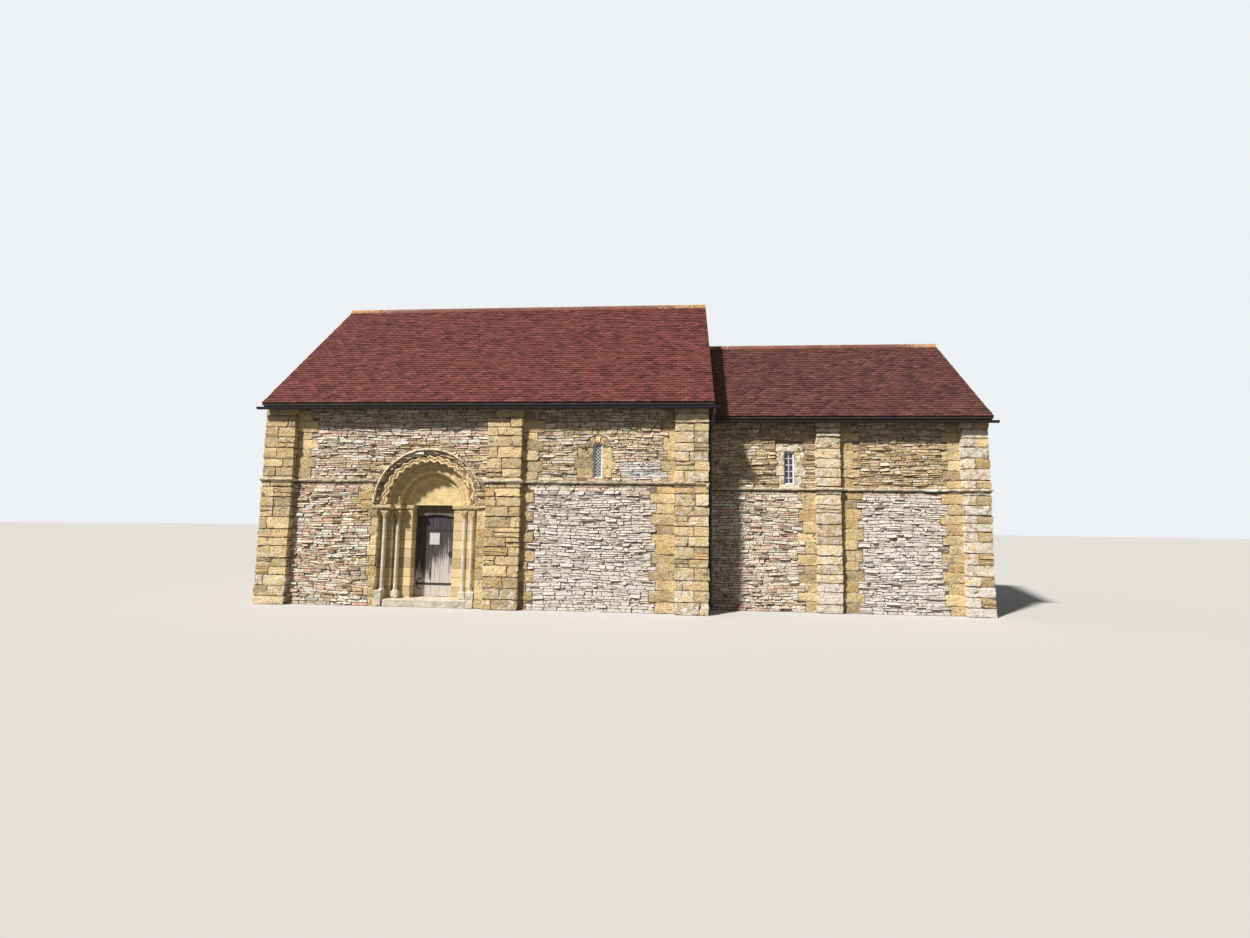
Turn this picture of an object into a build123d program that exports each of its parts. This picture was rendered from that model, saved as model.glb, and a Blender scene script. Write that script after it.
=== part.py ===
from build123d import *
import math
import os

# A small two-cell Norman chapel: nave, chancel, carved south doorway and tiled roofs.
# +X runs east along the ridge, +Y north and +Z up, in millimetres. The origin is on the
# ridge line, in the middle of the nave, at ground level.
os.makedirs("parts", exist_ok=True)

# Plan of the nave and the chancel, over their wall faces
nave_length = 10060
nave_width = 6400
chancel_length = 6320
chancel_width = 4820
wall_thickness = 850

# Levels above the ground
floor_level = 170
nave_eave_level = 4635
chancel_eave_level = 4457

# Pilasters
pilaster_depth = 140
nave_corner_width = 720
nave_east_return = 400
nave_mid_pilaster_x = 580
nave_mid_width = 780
chancel_corner_width = 560
chancel_mid_pilaster_x = 7960
chancel_mid_width = 520

# Roofs
nave_pitch = 45.0
chancel_pitch = 42.3
nave_overhang = 326
chancel_overhang = 320
roof_thickness = 130
tile_lip = 40
tile_lip_reach = 76
west_verge = 150
east_verge = 270
chancel_verge = 190
wall_head_depth = 350

# Ridge tiles
ridge_tile_length = 450
ridge_joint = 8
ridge_radius = 125
ridge_rise = 45

# String courses
string_height = 80
string_projection = 60
string_chamfer = 30
string_joint = 3
nave_string_level = 2820
chancel_string_level = 2760
broken_string_x = 4890
string_stop = 1215
string_restart = 1295

# Windows
nave_window_x = 2702
nave_window_sill = 2964
nave_window_width = 210
nave_window_height = 797
chancel_window_x = 7102
chancel_window_sill = 2918
chancel_window_width = 236
chancel_window_height = 757
light_reveal = 120
glass_depth = 60
glass_thickness = 8
splay_width = 420
splay_rise = 250
splay_drop = 200

# Chancel arch
arch_half_width = 1100
arch_springing = 2270

# South doorway, measured out from its middle and back from the wall face
door_x = -1215
springing = 2320
door_block_half = 1300
hood_radius = 1310
hood_width = 60
hood_projection = 85
hood_chamfer = 25
hood_wear = 12
hood_break = 50
hood_end = 19
chevron_outer = 1165
order_radii = (975, 745, 600)
order_depths = (170, 340)
reveal_depth = 560
opening_half = 500
nook_half = 900
rear_half = 580
rear_splay = 100
rear_splay_depth = 720
rear_rise = 200
tympanum_depth = 420

# Carving of the arch orders
chevron_count = 16
chevron_relief = 30
chevron_swing = 80
chevron_band = 80
chevron_margin = 5
ring_setback = 20
roll_radius = 40
quirk_depth = 24

# Shafts, capitals, bases and imposts
shaft_radius = 46
outer_shaft = (1040, 85)
inner_shaft = (800, 255)
impost_height = 120
impost_overhang = 40
impost_outer_reach = 25
impost_chamfer = 35
impost_worn_back = 60
capital_height = 220
capital_side = 170
neck_height = 30
neck_swell = 10
cushion_face = 70
cushion_corner = 40
outer_base_top = 410
inner_base_top = 370
outer_base_side = 178
outer_base_projection = 50
step_nosing = 20
base_ring_height = 40
base_ring_swell = 16

# Door frame and leaf
frame_half = 485
frame_depth = 50
frame_side_height = 1850
frame_crown_height = 1930
leaf_half = 528
leaf_thickness = 50
leaf_lap = 30
leaf_gap = 6
sill_gap = 8
plank_count = 5
plank_groove = 8
ledge_width = 150
ledge_thickness = 28
ledge_half = 500
ledge_heights = (295, 940, 1580)
hinge_offset = 545
pin_radius = 8
pin_clearance = 0.3
eye_radius = 14
pintle_shoulder = 14
pin_proud = 12
strap_width = 50
strap_thickness = 8
strap_length = 880
strap_inset = 15
strap_heights = (295, 1580)
scroll_radius = 140
scroll_bar = 22
ring_handle_x = 350
ring_handle_height = 1000
plate_size = (70, 150)
plate_thickness = 6
handle_radius = 52
handle_bar = 7
boss_length = 18

# Gutters and downpipes
gutter_radius = 57
gutter_wall = 5
gutter_drop = 95
gutter_end = 100
gutter_east_end = 130
fascia_thickness = 20
fascia_drop = 20
chancel_gutter_gap = 30
pipe_radius = 36
pipe_wall = 3
neck_drop = 100
neck_fall = 370
shoe_rise = 130
shoe_reach = 80
pipe_stand_off = 22
pipe_foot = 120
pipe_y = 3140
clip_height = 60
clip_wall = 6
clip_levels = (1000, 2450, 3600)

# Places that follow from the sizes above
nave_half = nave_length / 2
nave_face = nave_width / 2
chancel_face = chancel_width / 2
chancel_east = nave_half + chancel_length
nave_pilaster_face = nave_face + pilaster_depth
chancel_pilaster_face = chancel_face + pilaster_depth
nave_inner_half = nave_half - wall_thickness
chancel_inner_end = chancel_east - wall_thickness
sky = 2 * nave_eave_level
door_left = door_x - door_block_half
door_right = door_x + door_block_half
impost_level = springing - impost_height
capital_level = impost_level - capital_height
nave_rise = math.tan(math.radians(nave_pitch))
chancel_rise = math.tan(math.radians(chancel_pitch))
nave_eave = nave_face + nave_overhang
chancel_eave = chancel_face + chancel_overhang


def block(corner_a, corner_b, mode=Mode.ADD):
    """Add a rectangular block between two opposite corners."""
    low = [min(a, b) for a, b in zip(corner_a, corner_b)]
    size = [abs(a - b) for a, b in zip(corner_a, corner_b)]
    with Locations(tuple(low)):
        Box(*size, align=(Align.MIN, Align.MIN, Align.MIN), mode=mode)


def oblong(x_low, x_high, y_low, y_high):
    """Add a rectangle between two opposite corners to the open sketch."""
    with Locations(((x_low + x_high) / 2, (y_low + y_high) / 2)):
        Rectangle(x_high - x_low, y_high - y_low)


def roof_height(y, eave_y, eave_level, rise):
    """Level of the tiles' top face at a distance y from the ridge line."""
    return eave_level + (eave_y - abs(y)) * rise


def slab_drop(thickness, rise):
    """Height of a plumb cut through a layer that lies on the slope."""
    return thickness * math.hypot(1, rise)


def under_roof(x, eave_y, eave_level, rise):
    """The space under both slopes, as a section across the building."""
    drop = slab_drop(roof_thickness, rise)
    crown = roof_height(0, eave_y, eave_level, rise) - drop
    foot = eave_level - drop
    with BuildSketch(Plane.YZ.offset(x)) as outline:
        with BuildLine():
            Polyline((-eave_y, 0), (eave_y, 0), (eave_y, foot), (0, crown), (-eave_y, foot), close=True)
        make_face()
    return outline.sketch


def side_wall(x, face, eave_y, eave_level, rise):
    """The south wall's section, with its head cut to the slope it carries."""
    top = roof_height(face, eave_y, eave_level, rise) - slab_drop(roof_thickness, rise)
    head = top + wall_head_depth * rise
    inner = face - wall_thickness
    with BuildSketch(Plane.YZ.offset(x)) as outline:
        with BuildLine():
            Polyline(
                (-face, 0), (-face, top), (wall_head_depth - face, head), (-inner, head), (-inner, 0), close=True
            )
        make_face()
    return outline.sketch


def light_outline(plane, width, height, drop, round_head):
    """A window's outline, with the middle of its sill at the plane's origin."""
    half = width / 2
    shoulder = height - half if round_head else height
    with BuildSketch(plane) as outline:
        with BuildLine():
            Polyline((-half, shoulder), (-half, -drop), (half, -drop), (half, shoulder))
            if round_head:
                ThreePointArc((half, shoulder), (0, height), (-half, shoulder))
            else:
                Line((half, shoulder), (-half, shoulder))
        make_face()
    return outline.sketch


def cut_window(plane, width, height, round_head):
    """Cut a light with a straight outer reveal and a splay that opens to the room."""
    extrude(light_outline(plane, width, height, 0, round_head), amount=light_reveal, mode=Mode.SUBTRACT)
    narrow = light_outline(plane.offset(light_reveal), width, height, 0, round_head)
    wide = light_outline(
        plane.offset(wall_thickness), width + splay_width, height + splay_rise, splay_drop, round_head
    )
    loft([narrow, wide], mode=Mode.SUBTRACT)


def glaze(plane, width, height, round_head):
    """Add one sheet of leaded glass that fills a light."""
    outline = light_outline(plane.offset(glass_depth), width, height, 0, round_head)
    extrude(outline, amount=glass_thickness)


def south_light(x, sill, face):
    """The outer plane of a window in a south wall, facing into the room."""
    return Plane(origin=(x, -face, sill), x_dir=(-1, 0, 0), z_dir=(0, 1, 0))


def north_light(x, sill, face):
    """The outer plane of a window in a north wall, facing into the room."""
    return Plane(origin=(x, face, sill), x_dir=(1, 0, 0), z_dir=(0, -1, 0))


nave_roof = (nave_eave, nave_eave_level, nave_rise)
chancel_roof = (chancel_eave, chancel_eave_level, chancel_rise)
nave_light = (nave_window_width, nave_window_height, True)
chancel_light = (chancel_window_width, chancel_window_height, False)
west_light = Plane(origin=(-nave_half, 0, nave_window_sill), x_dir=(0, 1, 0), z_dir=(1, 0, 0))
east_light = Plane(origin=(chancel_east, 0, chancel_window_sill), x_dir=(0, -1, 0), z_dir=(-1, 0, 0))

# Nave walls, split beside and over the doorway
with BuildPart() as nave_south_wall_west:
    profile = side_wall(-nave_inner_half, nave_face, *nave_roof)
    extrude(profile, amount=door_left + nave_inner_half)
nave_south_wall_west.part.label = "nave_south_wall_west"
export_step(nave_south_wall_west.part, "parts/nave_south_wall_west.step")

with BuildPart() as nave_south_wall_east:
    extrude(side_wall(door_right, nave_face, *nave_roof), amount=nave_inner_half - door_right)
    cut_window(south_light(nave_window_x, nave_window_sill, nave_face), *nave_light)
nave_south_wall_east.part.label = "nave_south_wall_east"
export_step(nave_south_wall_east.part, "parts/nave_south_wall_east.step")

with BuildPart() as nave_north_wall:
    extrude(side_wall(-nave_inner_half, nave_face, *nave_roof), amount=2 * nave_inner_half)
    mirror(about=Plane.XZ, mode=Mode.REPLACE)
    cut_window(north_light(nave_window_x, nave_window_sill, nave_face), *nave_light)
nave_north_wall.part.label = "nave_north_wall"
export_step(nave_north_wall.part, "parts/nave_north_wall.step")

with BuildPart() as nave_west_gable:
    block((-nave_half, -nave_face, 0), (-nave_inner_half, nave_face, sky))
    extrude(under_roof(-nave_half, *nave_roof), amount=wall_thickness, mode=Mode.INTERSECT)
    cut_window(west_light, *nave_light)
nave_west_gable.part.label = "nave_west_gable"
export_step(nave_west_gable.part, "parts/nave_west_gable.step")

# East gable of the nave, split round the chancel arch
with BuildPart() as nave_east_gable_south:
    block((nave_inner_half, -nave_face, 0), (nave_half, -arch_half_width, arch_springing))
nave_east_gable_south.part.label = "nave_east_gable_south"
export_step(nave_east_gable_south.part, "parts/nave_east_gable_south.step")

with BuildPart() as nave_east_gable_north:
    block((nave_inner_half, arch_half_width, 0), (nave_half, nave_face, arch_springing))
nave_east_gable_north.part.label = "nave_east_gable_north"
export_step(nave_east_gable_north.part, "parts/nave_east_gable_north.step")

with BuildPart() as nave_east_gable_over_arch:
    block((nave_inner_half, -nave_face, arch_springing), (nave_half, nave_face, sky))
    extrude(under_roof(nave_inner_half, *nave_roof), amount=wall_thickness, mode=Mode.INTERSECT)
    with BuildSketch(Plane.YZ.offset(nave_inner_half)):
        with Locations((0, arch_springing)):
            Circle(arch_half_width)
    extrude(amount=wall_thickness, mode=Mode.SUBTRACT)
nave_east_gable_over_arch.part.label = "nave_east_gable_over_arch"
export_step(nave_east_gable_over_arch.part, "parts/nave_east_gable_over_arch.step")

# Chancel walls
with BuildPart() as chancel_south_wall:
    profile = side_wall(nave_half, chancel_face, *chancel_roof)
    extrude(profile, amount=chancel_inner_end - nave_half)
    cut_window(south_light(chancel_window_x, chancel_window_sill, chancel_face), *chancel_light)
chancel_south_wall.part.label = "chancel_south_wall"
export_step(chancel_south_wall.part, "parts/chancel_south_wall.step")

with BuildPart() as chancel_north_wall:
    mirror(chancel_south_wall.part, about=Plane.XZ)
chancel_north_wall.part.label = "chancel_north_wall"
export_step(chancel_north_wall.part, "parts/chancel_north_wall.step")

with BuildPart() as chancel_east_gable:
    block((chancel_inner_end, -chancel_face, 0), (chancel_east, chancel_face, sky))
    extrude(under_roof(chancel_inner_end, *chancel_roof), amount=wall_thickness, mode=Mode.INTERSECT)
    cut_window(east_light, chancel_window_width, chancel_window_height, True)
chancel_east_gable.part.label = "chancel_east_gable"
export_step(chancel_east_gable.part, "parts/chancel_east_gable.step")

# Floors
with BuildPart() as nave_floor:
    inner = nave_face - wall_thickness
    block((-nave_inner_half, -inner, 0), (nave_inner_half, inner, floor_level))
nave_floor.part.label = "nave_floor"
export_step(nave_floor.part, "parts/nave_floor.step")

with BuildPart() as chancel_floor:
    inner = chancel_face - wall_thickness
    block((nave_half, -inner, 0), (chancel_inner_end, inner, floor_level))
    block((nave_inner_half, -arch_half_width, 0), (nave_half, arch_half_width, floor_level))
chancel_floor.part.label = "chancel_floor"
export_step(chancel_floor.part, "parts/chancel_floor.step")


def nave_pilaster_plan():
    """Add the nave's pilasters to the open sketch, reaching into the walls."""
    west, east = -nave_half - pilaster_depth, nave_half + pilaster_depth
    middle = nave_mid_pilaster_x - nave_mid_width / 2
    for side in (-1, 1):
        faces = sorted((side * nave_pilaster_face, side * (nave_pilaster_face - nave_corner_width)))
        oblong(west, west + nave_corner_width, *faces)
        faces = sorted((side * nave_pilaster_face, side * (nave_pilaster_face - nave_east_return)))
        oblong(east - nave_corner_width, east, *faces)
        oblong(middle, middle + nave_mid_width, *faces)


def chancel_pilaster_plan():
    """Add the chancel's pilasters to the open sketch, reaching into the walls."""
    east = chancel_east + pilaster_depth
    middle = chancel_mid_pilaster_x - chancel_mid_width / 2
    for side in (-1, 1):
        faces = sorted((side * chancel_pilaster_face, side * (chancel_pilaster_face - chancel_corner_width)))
        oblong(east - chancel_corner_width, east, *faces)
        oblong(middle, middle + chancel_mid_width, *faces)


with BuildPart() as nave_pilasters:
    with BuildSketch():
        nave_pilaster_plan()
    extrude(amount=sky)
    block((-nave_half, -nave_face, 0), (nave_half, nave_face, sky), Mode.SUBTRACT)
    profile = under_roof(-nave_half - pilaster_depth, *nave_roof)
    extrude(profile, amount=nave_length + 2 * pilaster_depth, mode=Mode.INTERSECT)
nave_pilasters.part.label = "nave_pilasters"
export_step(nave_pilasters.part, "parts/nave_pilasters.step")

with BuildPart() as chancel_pilasters:
    with BuildSketch():
        chancel_pilaster_plan()
    extrude(amount=sky)
    block((nave_half, -chancel_face, 0), (chancel_east, chancel_face, sky), Mode.SUBTRACT)
    profile = under_roof(nave_half, *chancel_roof)
    extrude(profile, amount=chancel_length + pilaster_depth, mode=Mode.INTERSECT)
chancel_pilasters.part.label = "chancel_pilasters"
export_step(chancel_pilasters.part, "parts/chancel_pilasters.step")


def cut_joint_across(x, level):
    """Open a joint in both side walls' strings, centred on x."""
    half = string_joint / 2
    block((x - half, -nave_eave, level), (x + half, nave_eave, level + string_height), Mode.SUBTRACT)


def cut_joint_along(x_low, x_high, y, level):
    """Open a joint in a gable's string at the same distance on both sides of the ridge line."""
    half = string_joint / 2
    for side in (-1, 1):
        low = (x_low, side * y - half, level)
        block(low, (x_high, side * y + half, level + string_height), Mode.SUBTRACT)


# String courses, chamfered below, carried round the pilasters and laid in lengths
with BuildPart() as nave_string_course:
    with BuildSketch(Plane.XY.offset(nave_string_level)) as nave_outline:
        Rectangle(nave_length, nave_width)
        nave_pilaster_plan()
        offset(amount=string_projection, kind=Kind.INTERSECTION)
    extrude(amount=string_height)
    chamfer(faces().sort_by(Axis.Z)[0].outer_wire().edges(), length=string_chamfer)
    with BuildSketch(Plane.XY.offset(nave_string_level)):
        Rectangle(nave_length, nave_width)
        nave_pilaster_plan()
    extrude(amount=string_height, mode=Mode.SUBTRACT)
    string_top = nave_string_level + string_height
    string_reach = nave_pilaster_face + 2 * string_projection
    block(
        (door_x - string_stop, -string_reach, nave_string_level),
        (door_x + string_restart, -nave_face, string_top), Mode.SUBTRACT,
    )
    block(
        (broken_string_x, -string_reach, nave_string_level),
        (nave_half + string_reach, -nave_face, string_top), Mode.SUBTRACT,
    )
    for side in (-1, 1):
        pipe_gap = pipe_radius + clip_wall
        block(
            (nave_half + pilaster_depth, side * pipe_y - pipe_gap, nave_string_level),
            (nave_half + string_reach, side * pipe_y + pipe_gap, string_top), Mode.SUBTRACT,
        )
    chancel_gap = chancel_face + string_projection + string_joint
    block((nave_half, -chancel_gap, nave_string_level), (chancel_east, chancel_gap, string_top), Mode.SUBTRACT)
    corner_reach = nave_half + pilaster_depth - nave_corner_width - string_projection
    mid_reach = nave_mid_width / 2 + string_projection
    for joint_x in (-corner_reach, corner_reach, nave_mid_pilaster_x - mid_reach, nave_mid_pilaster_x + mid_reach):
        cut_joint_across(joint_x, nave_string_level)
    west_return = nave_pilaster_face - nave_corner_width - string_projection
    cut_joint_along(-nave_half - string_reach, -nave_half, west_return, nave_string_level)
nave_string_course.part.label = "nave_string_course"
export_step(nave_string_course.part, "parts/nave_string_course.step")

with BuildPart() as chancel_string_course:
    with BuildSketch(Plane.XY.offset(chancel_string_level)):
        oblong(0, chancel_east, -chancel_face, chancel_face)
        chancel_pilaster_plan()
        offset(amount=string_projection, kind=Kind.INTERSECTION)
    extrude(amount=string_height)
    chamfer(faces().sort_by(Axis.Z)[0].outer_wire().edges(), length=string_chamfer)
    with BuildSketch(Plane.XY.offset(chancel_string_level)):
        oblong(0, chancel_east, -chancel_face, chancel_face)
        chancel_pilaster_plan()
    extrude(amount=string_height, mode=Mode.SUBTRACT)
    string_top = chancel_string_level + string_height
    block(
        (-nave_half, -nave_face, chancel_string_level), (nave_half, nave_face, string_top), Mode.SUBTRACT
    )
    mid_reach = chancel_mid_width / 2 + string_projection
    corner_reach = chancel_east + pilaster_depth - chancel_corner_width - string_projection
    for joint_x in (chancel_mid_pilaster_x - mid_reach, chancel_mid_pilaster_x + mid_reach, corner_reach):
        cut_joint_across(joint_x, chancel_string_level)
    east_return = chancel_pilaster_face - chancel_corner_width - string_projection
    cut_joint_along(chancel_east, chancel_east + string_reach, east_return, chancel_string_level)
chancel_string_course.part.label = "chancel_string_course"
export_step(chancel_string_course.part, "parts/chancel_string_course.step")


def doorway_point(side, half, depth):
    """A point in the doorway's plan: half its width out from the middle, and back from the wall face."""
    return (door_x + side * half, -nave_face + depth)


def jamb_foot_plan(side):
    """A jamb stepped back in two nooks, rebated for the frame and splayed behind it."""
    points = [
        (door_block_half, 0), (chevron_outer, 0), (chevron_outer, order_depths[0]),
        (nook_half, order_depths[0]), (nook_half, order_depths[1]), (opening_half, order_depths[1]),
        (opening_half, reveal_depth), (rear_half, reveal_depth), (rear_half, rear_splay_depth),
        (rear_half + rear_splay, wall_thickness), (door_block_half, wall_thickness),
    ]
    with BuildSketch() as plan:
        with BuildLine():
            Polyline([doorway_point(side, *point) for point in points], close=True)
        make_face()
    return plan.sketch


def jamb_head_plan(side):
    """The part of a jamb that stands behind the impost."""
    points = [
        (door_block_half, reveal_depth), (rear_half, reveal_depth), (rear_half, rear_splay_depth),
        (rear_half + rear_splay, wall_thickness), (door_block_half, wall_thickness),
    ]
    with BuildSketch(Plane.XY.offset(impost_level)) as plan:
        with BuildLine():
            Polyline([doorway_point(side, *point) for point in points], close=True)
        make_face()
    return plan.sketch


with BuildPart() as doorway_west_jamb:
    extrude(jamb_foot_plan(-1), amount=impost_level)
    extrude(jamb_head_plan(-1), amount=impost_height)
doorway_west_jamb.part.label = "doorway_west_jamb"
export_step(doorway_west_jamb.part, "parts/doorway_west_jamb.step")

with BuildPart() as doorway_east_jamb:
    extrude(jamb_foot_plan(1), amount=impost_level)
    extrude(jamb_head_plan(1), amount=impost_height)
doorway_east_jamb.part.label = "doorway_east_jamb"
export_step(doorway_east_jamb.part, "parts/doorway_east_jamb.step")


def arch_disc(front, back, radius, mode):
    """Cut or add a disc about the arch's centre, between two depths in the wall."""
    with BuildSketch(Plane.XZ.offset(nave_face - back)) as disc:
        with Locations((door_x, springing)):
            Circle(radius)
    extrude(disc.sketch, amount=back - front, mode=mode)


# The wall over the doorway, stepped back for each arch order
with BuildPart() as nave_south_wall_over_door:
    extrude(side_wall(door_left, nave_face, *nave_roof), amount=door_right - door_left)
    block((door_left, -nave_face, 0), (door_right, -nave_face + wall_thickness, springing), Mode.SUBTRACT)
    arch_disc(0, order_depths[0], chevron_outer, Mode.SUBTRACT)
    arch_disc(order_depths[0], order_depths[1], order_radii[0], Mode.SUBTRACT)
    arch_disc(order_depths[1], reveal_depth, order_radii[1], Mode.SUBTRACT)
    with BuildSketch(Plane.XZ.offset(nave_face - wall_thickness)):
        with BuildLine():
            ThreePointArc(
                (door_x - rear_half, springing), (door_x, springing + rear_rise), (door_x + rear_half, springing)
            )
            Line((door_x + rear_half, springing), (door_x - rear_half, springing))
        make_face()
    extrude(amount=wall_thickness - reveal_depth, mode=Mode.SUBTRACT)
nave_south_wall_over_door.part.label = "nave_south_wall_over_door"
export_step(nave_south_wall_over_door.part, "parts/nave_south_wall_over_door.step")


def ring_sector(depth, outer, inner, start, end):
    """A sector of a ring about the arch's centre, in a plane that faces south."""
    with BuildSketch(Plane.XZ.offset(nave_face - depth)) as sector:
        with BuildLine():
            centre = (door_x, springing)
            rim = CenterArc(centre, outer, start, end - start)
            soffit = CenterArc(centre, inner, start, end - start)
            Line(rim @ 0, soffit @ 0)
            Line(rim @ 1, soffit @ 1)
        make_face()
    return sector.sketch


# Hood mould: whole to the west and over the crown, worn thin and broken off to the east
with BuildPart() as hood_mould:
    extrude(ring_sector(0, hood_radius, hood_radius - hood_width, hood_break, 180), amount=hood_projection)
    outer_edges = faces().sort_by(Axis.Y)[0].edges().filter_by(GeomType.CIRCLE).sort_by(SortBy.RADIUS)[-1]
    chamfer(outer_edges, length=hood_chamfer)
    worn = ring_sector(0, hood_radius - hood_wear, hood_radius - hood_width + hood_wear, hood_end, hood_break)
    extrude(worn, amount=hood_projection / 2)
hood_mould.part.label = "hood_mould"
export_step(hood_mould.part, "parts/hood_mould.step")


def zigzag(depth, crest, band):
    """A ribbon that zigzags round the arch, from one springing to the other."""
    steps = 2 * chevron_count
    radii = [crest - chevron_swing * (step % 2) for step in range(steps + 1)]
    turns = [math.pi * step / steps for step in range(steps + 1)]
    outer = [(door_x + r * math.cos(a), springing + r * math.sin(a)) for r, a in zip(radii, turns)]
    inner = [(door_x + (r - band) * math.cos(a), springing + (r - band) * math.sin(a)) for r, a in zip(radii, turns)]
    with BuildSketch(Plane.XZ.offset(nave_face - depth)) as ribbon:
        with BuildLine():
            Polyline(outer + inner[::-1], close=True)
        make_face()
    return ribbon.sketch


# Outer order: a chevron ribbon standing out of a plain ring
with BuildPart() as chevron_order:
    ring = ring_sector(order_depths[0], chevron_outer, order_radii[0], 0, 180)
    extrude(ring, amount=order_depths[0] - ring_setback)
    extrude(zigzag(ring_setback, chevron_outer - chevron_margin, chevron_band), amount=chevron_relief)
chevron_order.part.label = "chevron_order"
export_step(chevron_order.part, "parts/chevron_order.step")


def moulded_order(outer, inner, front, back):
    """An arch order's section at its western springing: a roll on the arris beside a quirk."""
    arris = doorway_point(-1, inner, front)
    with BuildSketch(Plane.XY.offset(springing)) as moulding:
        oblong(door_x - outer, door_x - inner, -nave_face + front, -nave_face + back)
        fillet(moulding.vertices().sort_by_distance((*arris, springing))[0], radius=roll_radius)
        with Locations((arris[0] - 2 * roll_radius - quirk_depth, arris[1])):
            RegularPolygon(quirk_depth, 4, mode=Mode.SUBTRACT)
    return moulding.sketch


arch_axis = Axis((door_x, 0, springing), (0, 1, 0))

with BuildPart() as roll_order:
    revolve(moulded_order(order_radii[0], order_radii[1], *order_depths), axis=arch_axis, revolution_arc=180)
roll_order.part.label = "roll_order"
export_step(roll_order.part, "parts/roll_order.step")

with BuildPart() as inner_order:
    profile = moulded_order(order_radii[1], order_radii[2], order_depths[1], reveal_depth)
    revolve(profile, axis=arch_axis, revolution_arc=180)
inner_order.part.label = "inner_order"
export_step(inner_order.part, "parts/inner_order.step")

with BuildPart() as tympanum:
    with BuildSketch(Plane.XZ.offset(nave_face - reveal_depth)):
        with Locations((door_x, springing)):
            Circle(order_radii[2])
        with Locations((door_x, springing)):
            Rectangle(
                2 * order_radii[2], order_radii[2], align=(Align.CENTER, Align.MAX), mode=Mode.SUBTRACT
            )
    extrude(amount=reveal_depth - tympanum_depth)
tympanum.part.label = "tympanum"
export_step(tympanum.part, "parts/tympanum.step")


def impost_plan(side, reach):
    """The stepped abacus of one side, which oversails the jamb and its capitals."""
    points = [
        (reach, -impost_overhang), (nook_half - impost_overhang, -impost_overhang),
        (nook_half - impost_overhang, order_depths[0] - impost_overhang),
        (order_radii[1] - impost_overhang, order_depths[0] - impost_overhang),
        (order_radii[1] - impost_overhang, order_depths[1] - impost_overhang),
        (opening_half - impost_overhang, order_depths[1] - impost_overhang),
        (opening_half - impost_overhang, reveal_depth), (door_block_half, reveal_depth),
        (door_block_half, 0), (reach, 0),
    ]
    with BuildSketch(Plane.XY.offset(impost_level)) as plan:
        with BuildLine():
            Polyline([doorway_point(side, *point) for point in points], close=True)
        make_face()
    return plan.sketch


with BuildPart() as imposts:
    extrude(impost_plan(-1, door_block_half + impost_outer_reach), amount=impost_height)
    extrude(impost_plan(1, door_block_half - impost_worn_back), amount=impost_height)
    underside = edges().group_by(Axis.Z)[0]
    limit = -nave_face + reveal_depth - impost_overhang
    open_edges = underside.filter_by(
        lambda edge: edge.center().Y < limit and abs(edge.center().X - door_x) < door_block_half - 1
        and (edge.center().Y < -nave_face - 1 or abs(edge.center().X - door_x) < nook_half)
    )
    chamfer(open_edges, length=impost_chamfer)
imposts.part.label = "imposts"
export_step(imposts.part, "parts/imposts.step")

# Nook shafts with cushion capitals above and block bases below
shaft_places = [doorway_point(side, *place) for side in (-1, 1) for place in (outer_shaft, inner_shaft)]
base_tops = [outer_base_top, inner_base_top] * 2

with BuildPart() as nook_shafts:
    for place, base_top in zip(shaft_places, base_tops):
        with BuildSketch(Plane.XY.offset(base_top)):
            with Locations(place):
                Circle(shaft_radius)
        extrude(amount=capital_level - base_top)
nook_shafts.part.label = "nook_shafts"
export_step(nook_shafts.part, "parts/nook_shafts.step")

with BuildPart() as nook_capitals:
    neck = 2 * (shaft_radius + neck_swell)
    for place in shaft_places:
        with BuildSketch(Plane.XY.offset(capital_level)):
            with Locations(place):
                Circle(neck / 2)
        extrude(amount=neck_height)
        with BuildSketch(Plane.XY.offset(capital_level + neck_height)) as cushion_foot:
            with Locations(place):
                RectangleRounded(neck, neck, neck / 2 - 1)
        with BuildSketch(Plane.XY.offset(impost_level - cushion_face)) as cushion_top:
            with Locations(place):
                RectangleRounded(capital_side, capital_side, cushion_corner)
        loft()
        with BuildSketch(Plane.XY.offset(impost_level - cushion_face)):
            with Locations(place):
                Rectangle(capital_side, capital_side)
        extrude(amount=cushion_face)
nook_capitals.part.label = "nook_capitals"
export_step(nook_capitals.part, "parts/nook_capitals.step")

with BuildPart() as shaft_bases:
    for side in (-1, 1):
        base_in, base_out = chevron_outer - outer_base_side, chevron_outer
        block(
            (*doorway_point(side, base_in, -outer_base_projection), 0),
            (*doorway_point(side, base_out, order_depths[0]), outer_base_top - base_ring_height),
        )
        half = capital_side / 2
        block(
            (*doorway_point(side, inner_shaft[0] - half, inner_shaft[1] - half), floor_level),
            (*doorway_point(side, inner_shaft[0] + half, inner_shaft[1] + half), inner_base_top - base_ring_height),
        )
    for place, base_top in zip(shaft_places, base_tops):
        with BuildSketch(Plane.XY.offset(base_top - base_ring_height)):
            with Locations(place):
                Circle(shaft_radius + base_ring_swell)
        extrude(amount=base_ring_height)
shaft_bases.part.label = "shaft_bases"
export_step(shaft_bases.part, "parts/shaft_bases.step")

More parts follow.
